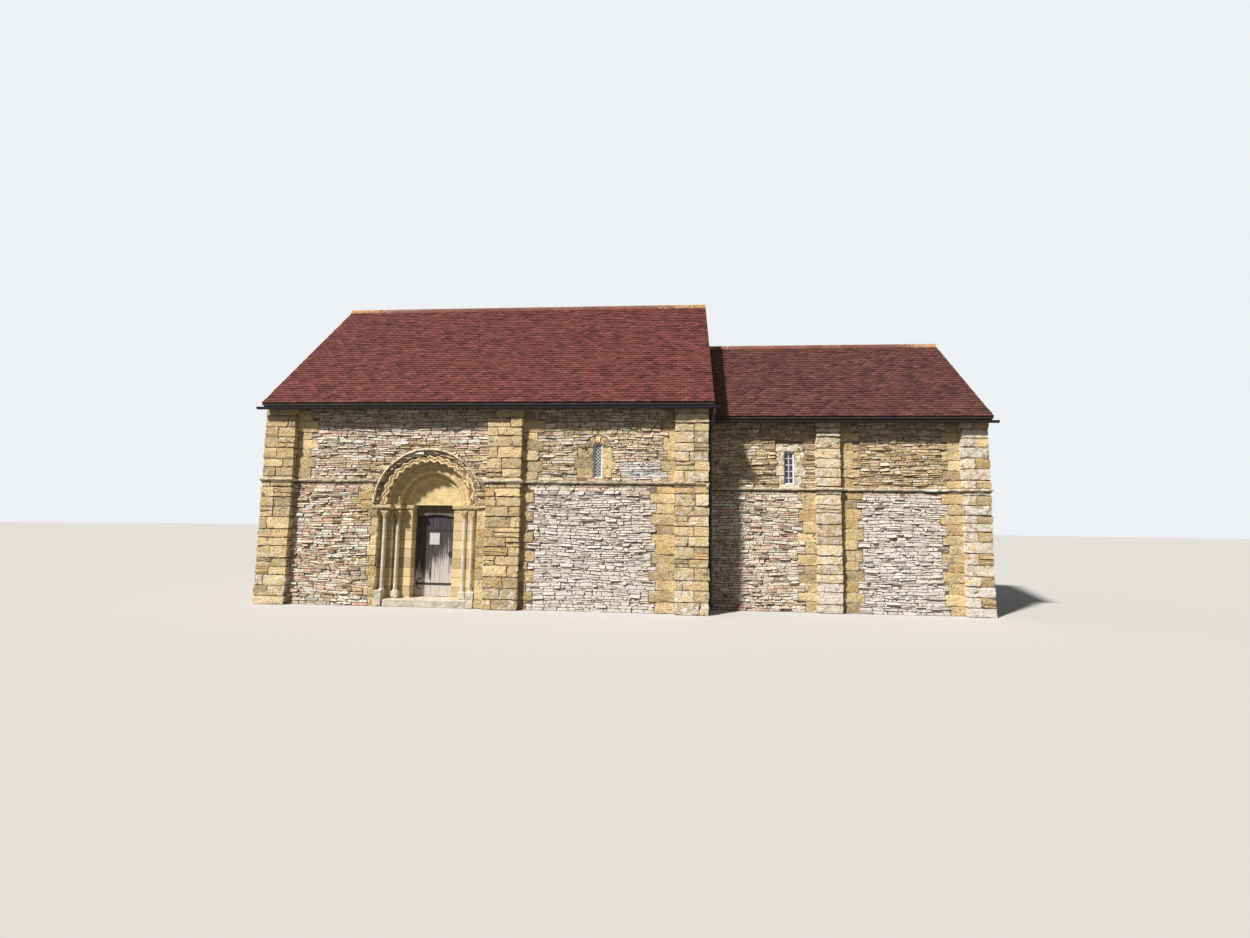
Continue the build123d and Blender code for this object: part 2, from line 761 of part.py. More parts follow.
with BuildPart() as threshold_step:
    with BuildSketch():
        front = -nave_face - step_nosing
        step_half = chevron_outer - outer_base_side
        first, second, back = (-nave_face + depth for depth in (*order_depths, reveal_depth))
        oblong(door_x - step_half, door_x + step_half, front, first)
        oblong(door_x - nook_half, door_x + nook_half, first, second)
        oblong(door_x - opening_half, door_x + opening_half, second, back)
        oblong(door_x - rear_half, door_x + rear_half, back, -nave_face + rear_splay_depth)
        with BuildLine():
            Polyline(
                doorway_point(-1, rear_half, rear_splay_depth), doorway_point(1, rear_half, rear_splay_depth),
                doorway_point(1, rear_half + rear_splay, wall_thickness),
                doorway_point(-1, rear_half + rear_splay, wall_thickness), close=True,
            )
        make_face()
    extrude(amount=floor_level)
threshold_step.part.label = "threshold_step"
export_step(threshold_step.part, "parts/threshold_step.step")


def arched_outline(depth, half, foot, side_top, crown):
    """A segmental-headed outline about the doorway's middle, in a plane that faces south."""
    with BuildSketch(Plane.XZ.offset(nave_face - depth)) as outline:
        with BuildLine():
            Polyline(
                (door_x - half, side_top), (door_x - half, foot), (door_x + half, foot), (door_x + half, side_top)
            )
            ThreePointArc((door_x + half, side_top), (door_x, crown), (door_x - half, side_top))
        make_face()
    return outline.sketch


# Oak frame that closes the rebate, with a segmental head
frame_back = reveal_depth + frame_depth
leaf_front = frame_back + leaf_gap
leaf_back = leaf_front + leaf_thickness
side_top = floor_level + frame_side_height
crown = floor_level + frame_crown_height

with BuildPart() as door_frame:
    block(
        (*doorway_point(-1, rear_half, reveal_depth), floor_level),
        (*doorway_point(1, rear_half, frame_back), springing),
    )
    opening = arched_outline(frame_back, frame_half, floor_level, side_top, crown)
    extrude(opening, amount=frame_depth, mode=Mode.SUBTRACT)
door_frame.part.label = "door_frame"
export_step(door_frame.part, "parts/door_frame.step")

# Plank leaf, ledged behind and hung on two pintles at the west jamb
with BuildPart() as door_leaf:
    leaf = arched_outline(leaf_back, leaf_half, floor_level + sill_gap, side_top + leaf_lap, crown + leaf_lap)
    extrude(leaf, amount=leaf_thickness)
    plank = 2 * leaf_half / plank_count
    for joint in range(1, plank_count):
        joint_x = door_x - leaf_half + joint * plank
        low = (joint_x - plank_groove / 2, -nave_face + leaf_front, floor_level)
        block(low, (joint_x + plank_groove / 2, low[1] + plank_groove, springing), Mode.SUBTRACT)
door_leaf.part.label = "door_leaf"
export_step(door_leaf.part, "parts/door_leaf.step")

with BuildPart() as door_ledges:
    for height in ledge_heights:
        foot = floor_level + height - ledge_width / 2
        block(
            (*doorway_point(-1, ledge_half, leaf_back), foot),
            (*doorway_point(1, ledge_half, leaf_back + ledge_thickness), foot + ledge_width),
        )
door_ledges.part.label = "door_ledges"
export_step(door_ledges.part, "parts/door_ledges.step")

# Iron: outer straps with a scroll each, and inner bands that end in the hinge eyes
hinge_x = door_x - hinge_offset
hinge_y = -nave_face + leaf_back + strap_thickness / 2
band_levels = [floor_level + height + ledge_width / 2 + strap_width for height in strap_heights]

with BuildPart() as door_straps:
    for height in strap_heights:
        level = floor_level + height
        strap_west = door_x - frame_half + strap_inset
        with BuildSketch(Plane.XZ.offset(nave_face - leaf_front)):
            with Locations((strap_west + strap_length / 2, level)):
                Rectangle(strap_length, strap_width)
            with Locations((strap_west + scroll_radius, level)):
                Circle(scroll_radius)
                Circle(scroll_radius - scroll_bar, mode=Mode.SUBTRACT)
                Rectangle(
                    scroll_radius, 2 * scroll_radius, align=(Align.MIN, Align.CENTER), mode=Mode.SUBTRACT
                )
                with Locations((strap_length / 2 - scroll_radius, 0)):
                    Rectangle(strap_length, strap_width)
        extrude(amount=strap_thickness)
    for level in band_levels:
        block(
            (hinge_x + pin_radius + pin_clearance, -nave_face + leaf_back, level - strap_width / 2),
            (door_x, -nave_face + leaf_back + strap_thickness, level + strap_width / 2),
        )
        with Locations((hinge_x, hinge_y, level)):
            Cylinder(eye_radius, strap_width)
            Cylinder(pin_radius + pin_clearance, strap_width, mode=Mode.SUBTRACT)
door_straps.part.label = "door_straps"
export_step(door_straps.part, "parts/door_straps.step")

with BuildPart() as hinge_pintles:
    for level in band_levels:
        eye_foot = level - strap_width / 2 - pin_clearance
        block(
            (door_x - rear_half, hinge_y - eye_radius / 2, eye_foot - pintle_shoulder),
            (hinge_x, hinge_y + eye_radius / 2, eye_foot),
        )
        with BuildSketch(Plane.XY.offset(eye_foot - pintle_shoulder)):
            with Locations((hinge_x, hinge_y)):
                Circle(pin_radius)
        extrude(amount=pintle_shoulder + strap_width + pin_proud)
hinge_pintles.part.label = "hinge_pintles"
export_step(hinge_pintles.part, "parts/hinge_pintles.step")

with BuildPart() as door_latch:
    plate_x = door_x + ring_handle_x
    plate_level = floor_level + ring_handle_height
    plate_front = leaf_front - plate_thickness
    with BuildSketch(Plane.XZ.offset(nave_face - leaf_front)):
        with Locations((plate_x, plate_level)):
            Rectangle(*plate_size)
    extrude(amount=plate_thickness)
    with BuildSketch(Plane.XZ.offset(nave_face - plate_front)):
        with Locations((plate_x, plate_level + handle_radius)):
            Circle(2 * handle_bar)
    extrude(amount=boss_length)
    with BuildSketch(Plane.XY.offset(plate_level)):
        with Locations((plate_x + handle_radius, -nave_face + plate_front - boss_length / 2)):
            RegularPolygon(handle_bar, 6)
    revolve(axis=Axis((plate_x, 0, plate_level), (0, 1, 0)))
door_latch.part.label = "door_latch"
export_step(door_latch.part, "parts/door_latch.step")


def slope_section(x, eave_y, eave_level, rise):
    """The south slope's section: plumb at the ridge, with the lowest tiles oversailing the rafters."""
    lip = slab_drop(tile_lip, rise)
    fascia_y = eave_y - tile_lip_reach
    at_fascia = roof_height(fascia_y, eave_y, eave_level, rise)
    crest = roof_height(0, eave_y, eave_level, rise)
    drop = slab_drop(roof_thickness, rise)
    with BuildSketch(Plane.YZ.offset(x)) as outline:
        with BuildLine():
            Polyline(
                (-eave_y, eave_level), (0, crest), (0, crest - drop), (-fascia_y, at_fascia - drop),
                (-fascia_y, at_fascia - lip), (-eave_y, eave_level - lip), close=True,
            )
        make_face()
    return outline.sketch


nave_roof_west, nave_roof_east = -nave_half - west_verge, nave_half + east_verge
chancel_roof_east = chancel_east + chancel_verge

with BuildPart() as nave_roof_south:
    extrude(slope_section(nave_roof_west, *nave_roof), amount=nave_roof_east - nave_roof_west)
nave_roof_south.part.label = "nave_roof_south"
export_step(nave_roof_south.part, "parts/nave_roof_south.step")

with BuildPart() as nave_roof_north:
    mirror(nave_roof_south.part, about=Plane.XZ)
nave_roof_north.part.label = "nave_roof_north"
export_step(nave_roof_north.part, "parts/nave_roof_north.step")

with BuildPart() as chancel_roof_south:
    extrude(slope_section(nave_half, *chancel_roof), amount=chancel_roof_east - nave_half)
chancel_roof_south.part.label = "chancel_roof_south"
export_step(chancel_roof_south.part, "parts/chancel_roof_south.step")

with BuildPart() as chancel_roof_north:
    mirror(chancel_roof_south.part, about=Plane.XZ)
chancel_roof_north.part.label = "chancel_roof_north"
export_step(chancel_roof_north.part, "parts/chancel_roof_north.step")


def ridge_section(x, eave_y, eave_level, rise):
    """A half-round ridge tile bedded on both slopes."""
    crest = roof_height(0, eave_y, eave_level, rise)
    reach = 2 * ridge_radius
    with BuildSketch(Plane.YZ.offset(x)) as outline:
        with Locations((0, crest + ridge_rise - ridge_radius)):
            Circle(ridge_radius)
        with BuildLine():
            Polyline(
                (0, crest), (reach, crest - reach * rise), (reach, crest - reach * rise - reach),
                (-reach, crest - reach * rise - reach), (-reach, crest - reach * rise), close=True,
            )
        make_face(mode=Mode.SUBTRACT)
    return outline.sketch


def lay_ridge(west, east, roof):
    """Lay ridge tiles of nearly equal length from one end of a ridge to the other."""
    count = round((east - west) / ridge_tile_length)
    pitch = (east - west) / count
    for tile in range(count):
        extrude(ridge_section(west + tile * pitch, *roof), amount=pitch - ridge_joint)


with BuildPart() as nave_ridge_tiles:
    lay_ridge(nave_roof_west, nave_roof_east, nave_roof)
nave_ridge_tiles.part.label = "nave_ridge_tiles"
export_step(nave_ridge_tiles.part, "parts/nave_ridge_tiles.step")

with BuildPart() as chancel_ridge_tiles:
    lay_ridge(nave_half, chancel_roof_east, chancel_roof)
chancel_ridge_tiles.part.label = "chancel_ridge_tiles"
export_step(chancel_ridge_tiles.part, "parts/chancel_ridge_tiles.step")


def fascia(west, east, eave_y, eave_level, rise):
    """Add the board that closes the south rafter ends under the lowest tiles."""
    back = -(eave_y - tile_lip_reach)
    front = back - fascia_thickness
    at_back = roof_height(back, eave_y, eave_level, rise)
    foot = at_back - slab_drop(roof_thickness, rise) - fascia_drop
    head = roof_height(front, eave_y, eave_level, rise) - slab_drop(tile_lip, rise)
    block((west, front, foot), (east, back, head))


with BuildPart() as eaves_boards:
    fascia(nave_roof_west, nave_roof_east, *nave_roof)
    fascia(nave_half, chancel_roof_east, *chancel_roof)
    mirror(about=Plane.XZ)
eaves_boards.part.label = "eaves_boards"
export_step(eaves_boards.part, "parts/eaves_boards.step")


def gutter_line(eave_y, eave_level):
    """The middle of the south gutter's rim, in the section across the building."""
    return (-(eave_y - tile_lip_reach + fascia_thickness + gutter_radius), eave_level - gutter_drop)


def half_round(x, centre, radius):
    """The lower half of a disc across the building."""
    with BuildSketch(Plane.YZ.offset(x)) as outline:
        with Locations(centre):
            Circle(radius)
            Rectangle(2 * radius, radius, align=(Align.CENTER, Align.MIN), mode=Mode.SUBTRACT)
    return outline.sketch


def gutter(west, east, centre):
    """Add a half-round gutter with stop ends, its rim against the fascia."""
    extrude(half_round(west, centre, gutter_radius), amount=east - west)
    cut_west, cut_east = west + gutter_wall, east - gutter_wall
    extrude(
        half_round(cut_west, centre, gutter_radius - gutter_wall), amount=cut_east - cut_west, mode=Mode.SUBTRACT
    )


with BuildPart() as gutters:
    gutter(nave_roof_west - gutter_end, nave_roof_east + gutter_east_end, gutter_line(*nave_roof[:2]))
    gutter(nave_half + chancel_gutter_gap, chancel_roof_east + gutter_end, gutter_line(*chancel_roof[:2]))
    mirror(about=Plane.XZ)
gutters.part.label = "gutters"
export_step(gutters.part, "parts/gutters.step")

# Downpipes beside the nave's eastern pilasters, from the gutter to a shoe near the ground
with BuildPart() as downpipes:
    pipe_x = nave_half + pilaster_depth + pipe_stand_off + pipe_radius
    rim_y, rim_level = gutter_line(*nave_roof[:2])
    outlet = rim_level - gutter_radius
    with BuildLine() as run:
        Polyline(
            (nave_roof_east, rim_y, outlet), (nave_roof_east, rim_y, outlet - neck_drop),
            (pipe_x, -pipe_y, outlet - neck_drop - neck_fall), (pipe_x, -pipe_y, pipe_foot + shoe_rise),
            (pipe_x + shoe_reach, -pipe_y - shoe_reach, pipe_foot),
        )
    with BuildSketch(Plane(origin=run.line @ 0, z_dir=run.line % 0)):
        Circle(pipe_radius)
        Circle(pipe_radius - pipe_wall, mode=Mode.SUBTRACT)
    sweep(path=run.line, transition=Transition.RIGHT)
    for level in clip_levels:
        with BuildSketch(Plane.XY.offset(level)):
            with Locations((pipe_x, -pipe_y)):
                RegularPolygon(pipe_radius + clip_wall, 8, major_radius=False, rotation=22.5)
                with Locations((-(pipe_radius + pipe_stand_off) / 2, 0)):
                    Rectangle(pipe_radius + pipe_stand_off, pipe_radius)
                Circle(pipe_radius - pipe_wall / 2, mode=Mode.SUBTRACT)
        extrude(amount=clip_height)
    mirror(about=Plane.XZ)
downpipes.part.label = "downpipes"
export_step(downpipes.part, "parts/downpipes.step")

with BuildPart() as window_glazing:
    glaze(south_light(nave_window_x, nave_window_sill, nave_face), *nave_light)
    glaze(north_light(nave_window_x, nave_window_sill, nave_face), *nave_light)
    glaze(west_light, *nave_light)
    glaze(south_light(chancel_window_x, chancel_window_sill, chancel_face), *chancel_light)
    glaze(north_light(chancel_window_x, chancel_window_sill, chancel_face), *chancel_light)
    glaze(east_light, chancel_window_width, chancel_window_height, True)
window_glazing.part.label = "window_glazing"
export_step(window_glazing.part, "parts/window_glazing.step")
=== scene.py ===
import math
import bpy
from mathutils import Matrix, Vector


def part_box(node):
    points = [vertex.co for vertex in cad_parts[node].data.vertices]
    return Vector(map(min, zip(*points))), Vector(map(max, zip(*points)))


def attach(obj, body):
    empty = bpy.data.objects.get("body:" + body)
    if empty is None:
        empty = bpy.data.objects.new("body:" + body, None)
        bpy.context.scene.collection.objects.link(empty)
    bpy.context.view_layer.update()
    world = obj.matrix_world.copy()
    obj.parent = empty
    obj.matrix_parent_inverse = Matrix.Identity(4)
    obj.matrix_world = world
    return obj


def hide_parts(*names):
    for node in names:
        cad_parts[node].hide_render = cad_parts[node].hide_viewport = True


bl_info = {
    "name": "Small chapel",
    "version": (1, 0, 0),
    "blender": (4, 5, 0),
    "location": "View3D > Sidebar > Chapel",
    "description": "Stones, tiles, joinery, glass and finishes of a small two-cell stone chapel",
    "category": "Object",
}

from dataclasses import dataclass
from functools import cached_property
from itertools import pairwise

import bmesh
import bpy
import numpy as np
from bpy.props import FloatProperty, FloatVectorProperty, IntProperty, PointerProperty
from mathutils import Matrix, Vector, noise

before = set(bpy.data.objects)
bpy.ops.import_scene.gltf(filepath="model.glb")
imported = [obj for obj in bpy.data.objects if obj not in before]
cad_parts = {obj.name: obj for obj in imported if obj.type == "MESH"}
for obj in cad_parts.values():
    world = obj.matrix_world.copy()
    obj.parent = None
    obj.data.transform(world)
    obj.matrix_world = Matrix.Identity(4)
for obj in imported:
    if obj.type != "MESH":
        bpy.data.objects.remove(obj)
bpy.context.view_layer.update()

CHAPEL = "chapel"
DOOR = "door"


# Settings

class StoneSettings(bpy.types.PropertyGroup):
    """Sizes and colours of the masonry"""

    joint: FloatProperty(name="Joint", description="Width of a mortar joint", default=0.004, unit="LENGTH")
    course: FloatProperty(name="Rubble course", description="Mean height", default=0.062, unit="LENGTH")
    stone_length: FloatProperty(name="Rubble length", description="Mean length", default=0.18, unit="LENGTH")
    proud: FloatProperty(name="Relief", description="Rubble's mean relief", default=0.025, unit="LENGTH")
    block: FloatProperty(name="Block course", description="Mean height", default=0.225, unit="LENGTH")
    ochre: FloatVectorProperty(
        name="Ochre stone", description="Squared sandstone", default=(0.72, 0.56, 0.315), subtype="COLOR")
    rubble: FloatVectorProperty(
        name="Rubble stone", description="Coursed rubble", default=(1.0, 0.755, 0.61), subtype="COLOR")
    lichen: FloatVectorProperty(
        name="Pale lichen", description="Lichen and limewash", default=(1.0, 0.93, 0.855), subtype="COLOR")
    # The mortar colour is dark as painted shade of the deep joints between the stones
    mortar: FloatVectorProperty(
        name="Mortar", description="Weathered lime mortar", default=(0.24, 0.175, 0.115), subtype="COLOR")


class RoofSettings(bpy.types.PropertyGroup):
    """Sizes and colours of the tiled roofs"""

    gauge: FloatProperty(name="Gauge", description="Depth of a course that shows", default=0.1, unit="LENGTH")
    tile_width: FloatProperty(name="Tile width", description="Plain tiles", default=0.165, unit="LENGTH")
    thickness: FloatProperty(name="Thickness", description="At a tile's tail", default=0.013, unit="LENGTH")
    nave: FloatVectorProperty(
        name="Nave tiles", description="Dark red clay", default=(0.150, 0.044, 0.037), subtype="COLOR")
    chancel: FloatVectorProperty(
        name="Chancel tiles", description="Browner clay", default=(0.115, 0.043, 0.036), subtype="COLOR")


class DoorSettings(bpy.types.PropertyGroup):
    """Boards and colours of the plank door"""

    boards: IntProperty(name="Boards", description="Upright boards across the leaf", default=5, min=2)
    oak: FloatVectorProperty(
        name="Oak", description="Dark weathered oak", default=(0.055, 0.048, 0.052), subtype="COLOR")
    foot: FloatVectorProperty(
        name="Bleached foot", description="Oak bleached near the sill", default=(0.58, 0.525, 0.49),
        subtype="COLOR")


class LightSettings(bpy.types.PropertyGroup):
    """The studio's light"""

    key: FloatProperty(name="Key", description="Strength of the key light", default=5.1, min=0)
    key_spread: FloatProperty(
        name="Key softness", description="Angle of the key light", default=math.radians(4), unit="ROTATION")
    fill: FloatProperty(name="Fill", description="Strength of the light from all round", default=0.18, min=0)


def stone_settings():
    return bpy.context.scene.chapel_stone


# Places read from the frame, in metres

def read(mesh, field):
    """A vector for each corner of a mesh, as an array"""
    found = np.empty(3 * len(mesh.vertices), np.float32)
    mesh.vertices.foreach_get(field, found)
    return found.reshape(-1, 3)


def corners(node):
    return read(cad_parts[node].data, "co").astype(float)


def solids(node):
    """The lowest and highest corner of each separate solid in a CAD node"""
    found = corners(node)
    label = np.unique(found.round(5), axis=0, return_inverse=True)[1].ravel()
    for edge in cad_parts[node].data.edges:
        first, second = edge.vertices
        label[label == label[second]] = label[first]
    groups = [found[label == one] for one in np.unique(label)]
    boxes = [(Vector(group.min(0)), Vector(group.max(0))) for group in groups]
    return sorted(boxes, key=lambda box: tuple(round(c, 3) for c in (*box[0], *box[1])))


class Cell:
    """The nave or the chancel: its side faces, gables, string course and pilasters"""

    def __init__(self, name, gable, east_gable):
        self.name = name
        self.face, self.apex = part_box(gable)[1].yz
        found = corners(gable)
        shoulder = found[abs(found[:, 1] - self.face) < 0.001, 2].max()
        self.fall = (found[:, 2].max() - shoulder) / self.face
        self.head = self.under(self.face + 0.03)
        self.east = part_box(east_gable)[1].x
        self.string = tuple(corner.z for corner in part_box(f"{name}_string_course"))
        self.pilasters = solids(f"{name}_pilasters")

    def under(self, across):
        """Height of the gable's slope, at a distance from its middle"""
        return self.apex - across * self.fall

    def out(self, height):
        """Distance of the gable's slope from its middle, at a height"""
        return (self.apex - height) / self.fall

    def outline(self, low, high):
        """The part of a gable under its roof, no wider than its wall"""
        foot, head = (min(self.out(z), self.face) for z in (low, high))
        return -foot, -head, foot, head


NAVE = Cell("nave", "nave_west_gable", "nave_east_gable_over_arch")
CHANCEL = Cell("chancel", "chancel_east_gable", "chancel_east_gable")
WEST_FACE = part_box("nave_west_gable")[0].x
RING_LOW, RING_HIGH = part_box("chevron_order")
DOOR_X = (RING_LOW.x + RING_HIGH.x) / 2
SPRINGING = RING_LOW.z
RING_OUTER = RING_HIGH.z - SPRINGING
RING_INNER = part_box("roll_order")[1].z - SPRINGING
LEAF_LOW, LEAF_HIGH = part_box("door_leaf")


# Shader maths as Python expressions

def operation(name, reflected=False):
    """A method that adds a Math node of one kind"""
    def method(self, *others):
        return self.shader.math(name, *others, self) if reflected else self.shader.math(name, self, *others)
    return method


class Socket:
    """A value in a material, on which arithmetic adds Math nodes"""

    def __init__(self, shader, socket):
        self.shader = shader
        self.socket = socket

    __add__, __radd__ = operation("ADD"), operation("ADD", True)
    __sub__, __rsub__ = operation("SUBTRACT"), operation("SUBTRACT", True)
    __mul__, __rmul__ = operation("MULTIPLY"), operation("MULTIPLY", True)
    __truediv__, __rtruediv__ = operation("DIVIDE"), operation("DIVIDE", True)
    __gt__, __lt__ = operation("GREATER_THAN"), operation("LESS_THAN")
    __abs__ = operation("ABSOLUTE")
    floor = operation("FLOOR")
    fraction = operation("FRACT")
    at_least = operation("MAXIMUM")

    def step(self, low, high):
        """0 below low, 1 above high, and smooth between them"""
        settings = {"interpolation_type": "SMOOTHSTEP"}
        return self.shader.node("ShaderNodeMapRange", settings, {0: self, 1: low, 2: high})

    def each(self):
        """A random number for each whole step of the value"""
        settings = {"noise_dimensions": "1D"}
        return self.shader.node("ShaderNodeTexWhiteNoise", settings, {"W": self.floor()}, "Value")

    def ramp(self, *stops):
        """A colour from (place, colour) stops"""
        return self.shader.node("ShaderNodeValToRGB", {"stops": stops}, {0: self})

    def tones(self, colour, *stops):
        """Darker and lighter tones of a colour, from (place, light) stops"""
        return self.ramp(*((place, shade(colour, light)) for place, light in stops))


class Shader:
    """The nodes of one material, or of the world"""

    def __init__(self, owner):
        self.owner = bpy.data.materials.new(owner) if isinstance(owner, str) else owner
        self.owner.use_nodes = True
        self.tree = self.owner.node_tree
        self.tree.nodes.clear()

    @cached_property
    def place(self):
        """Where a point of the piece lies"""
        return self.node("ShaderNodeTexCoord", {}, {}, "Object")

    def node(self, kind, settings, sockets, output=0):
        """Add a node, set it up, then give its sockets numbers, colours or links"""
        added = self.tree.nodes.new(kind)
        for key, value in settings.items():
            if key == "stops":
                self.fill_ramp(added.color_ramp, value)
            else:
                setattr(added, key, value)
        for key, value in sockets.items():
            socket = added.inputs[key]
            if isinstance(value, Socket):
                self.tree.links.new(value.socket, socket)
            else:
                socket.default_value = (*value, 1) if socket.type == "RGBA" else value
        return Socket(self, added.outputs[output]) if added.outputs else None

    def fill_ramp(self, ramp, stops):
        while len(ramp.elements) < len(stops):
            ramp.elements.new(1)
        for element, (place, colour) in zip(ramp.elements, stops):
            element.position = place
            element.color = (*colour, 1)

    def math(self, kind, *values):
        return self.node("ShaderNodeMath", {"operation": kind}, dict(enumerate(values)))

    def mix(self, factor, first, second, blend="MIX"):
        """Mix two colours; either may be a plain triple"""
        settings = {"data_type": "RGBA", "blend_type": blend, "clamp_factor": True}
        return self.node("ShaderNodeMix", settings, {0: factor, 6: first, 7: second}, 2)

    def mottle(self, share, base, pattern, *stops):
        """Tint a colour by a pattern's ramp"""
        return self.mix(share, base, pattern.ramp(*stops), "MULTIPLY")

    def axis(self, name):
        return self.node("ShaderNodeSeparateXYZ", {}, {0: self.place}, name)

    def noise(self, scale, detail, roughness=0.55, stretch=None):
        place = self.place
        if stretch:
            place = self.node("ShaderNodeVectorMath", {"operation": "MULTIPLY"}, {0: place, 1: stretch})
        sockets = {"Vector": place, "Scale": scale, "Detail": detail, "Roughness": roughness}
        return self.node("ShaderNodeTexNoise", {}, sockets)

    def attribute(self, name):
        return self.node("ShaderNodeAttribute", {"attribute_name": name}, {}, "Fac")

    def surface(self, colour, roughness, height, distance, strength, **others):
        """Finish the material with a Principled surface and its bump"""
        bump = self.node("ShaderNodeBump", {}, {"Height": height, "Distance": distance, "Strength": strength})
        sockets = {"Base Color": colour, "Roughness": roughness, "Normal": bump, **others}
        return self.show(self.node("ShaderNodeBsdfPrincipled", {}, sockets))

    def staged(self, kind, lit, shown, output="ShaderNodeOutputMaterial"):
        """One shader where it is looked at, and another where it lights the object"""
        names = "Is Camera Ray", "Is Glossy Ray", "Is Transmission Ray"
        camera, glossy, through = (self.node("ShaderNodeLightPath", {}, {}, name) for name in names)
        seen = camera.at_least(glossy.at_least(through))
        sockets = {0: seen, 1: self.node(kind, {}, lit), 2: self.node(kind, {}, shown)}
        return self.show(self.node("ShaderNodeMixShader", {}, sockets), output)

    def show(self, shaded, output="ShaderNodeOutputMaterial"):
        """Put a shader on the output, and give back what it is for"""
        self.node(output, {}, {"Surface": shaded})
        return self.owner


# Wall faces, and stones laid on them

class Wall:
    """A wall's face, as seen from outside: u runs to the right, z up and depth outwards"""

    def __init__(self, east, north, distance):
        self.outward = np.array((east, north, 0.0))
        self.along = np.array((-north, east, 0.0))
        self.origin = distance * self.outward

    def points(self, u, z, depth):
        level = self.origin + u[..., None] * self.along + depth[..., None] * self.outward
        return level + z[..., None] * np.array((0.0, 0.0, 1.0))


NAVE_SOUTH = Wall(0, -1, NAVE.face)
NAVE_NORTH = Wall(0, 1, NAVE.face)
NAVE_WEST = Wall(-1, 0, -WEST_FACE)
NAVE_EAST = Wall(1, 0, NAVE.east)
CHANCEL_SOUTH = Wall(0, -1, CHANCEL.face)
CHANCEL_NORTH = Wall(0, 1, CHANCEL.face)
CHANCEL_EAST = Wall(1, 0, CHANCEL.east)

# Columns and rows within a stone's edges, and the back beyond which a stone has no open joint
RUBBLE_GRID = 3, 2
BLOCK_GRID = 8, 6
SOLID_BACK = -0.1


@dataclass
class Cut:
    """How stones are cut and laid, in metres; proud, warm and bleach may be functions of (u, z)"""

    shortest: float
    longest: float
    joint: float
    proud: object
    steps: tuple
    jitter: float
    lean: float
    warm: object
    bleach: object
    split: float
    back: float = -0.006
    edge: float = 0.008
    wave: float = 0.0
    flush: float = 0.0


def rubble_cut(**changes):
    """Coursed rubble, with any change to it"""
    settings = stone_settings()
    size = settings.stone_length
    values = dict(
        shortest=0.4 * size, longest=1.75 * size, joint=settings.joint, proud=settings.proud,
        steps=(0.2, 0.4, 0.6, 0.8, 1.1, 1.5, 2.1), jitter=0.0075, lean=0.015, wave=0.024,
        warm=0.12, bleach=0.3, split=0.35,
    )
    return Cut(**{**values, **changes})


def block_cut(**changes):
    """Squared blocks, with any change to them"""
    settings = stone_settings()
    values = dict(
        shortest=0.17, longest=0.62, joint=settings.joint, proud=0.9 * settings.proud,
        steps=(0.35, 0.6, 0.85, 1.1, 1.5), jitter=0.0105, lean=0.016, edge=0.013,
        warm=1.0, bleach=0.12, split=0.10, flush=0.7,
    )
    return Cut(**{**values, **changes})


def value_at(value, u, z):
    """A number, or a function of the place on the wall"""
    return value(u, z) if callable(value) else value


def flat(level):
    return lambda u: level


def straight_outline(left, right):
    return lambda low, high: (left, left, right, right)


def upright(one, other, bottom, top):
    """A hole with upright sides"""
    left, right = sorted((one, other))
    return lambda low, high: None if high <= bottom or low >= top else (left, left, right, right)


def disc(centre, level, radius):
    """A hole above a level, as wide as a disc about it"""
    def half(z):
        return math.sqrt(max(radius**2 - (z - level)**2, 0))

    def hole(low, high):
        if high <= level or low >= level + radius:
            return None
        foot, head = half(max(low, level)), half(min(high, level + radius))
        return centre - foot, centre - head, centre + foot, centre + head
    return hole


def blocks_hole(blocks, slack=0.012):
    """A hole as wide as the blocks that a course meets"""
    def hole(low, high):
        met = [b for b in blocks if b[2] < high - slack and b[3] > low + slack]
        if not met:
            return None
        left, right = min(b[0] for b in met), max(b[1] for b in met)
        return left, left, right, right
    return hole


def open_spans(outline, holes, low, high):
    """Free stretches of a course: left at foot and head, then right at foot and head"""
    spans = [outline(low, high)]
    for cut in (hole(low, high) for hole in holes):
        if cut is None:
            continue
        left_foot, left_head, right_foot, right_head = cut
        parts = []
        for a, b, c, d in spans:
            if right_foot <= a and right_head <= b or left_foot >= c and left_head >= d:
                parts.append((a, b, c, d))
            else:
                parts.append((a, b, min(left_foot, c), min(left_head, d)))
                parts.append((max(right_foot, a), max(right_head, b), c, d))
        spans = parts
    return spans


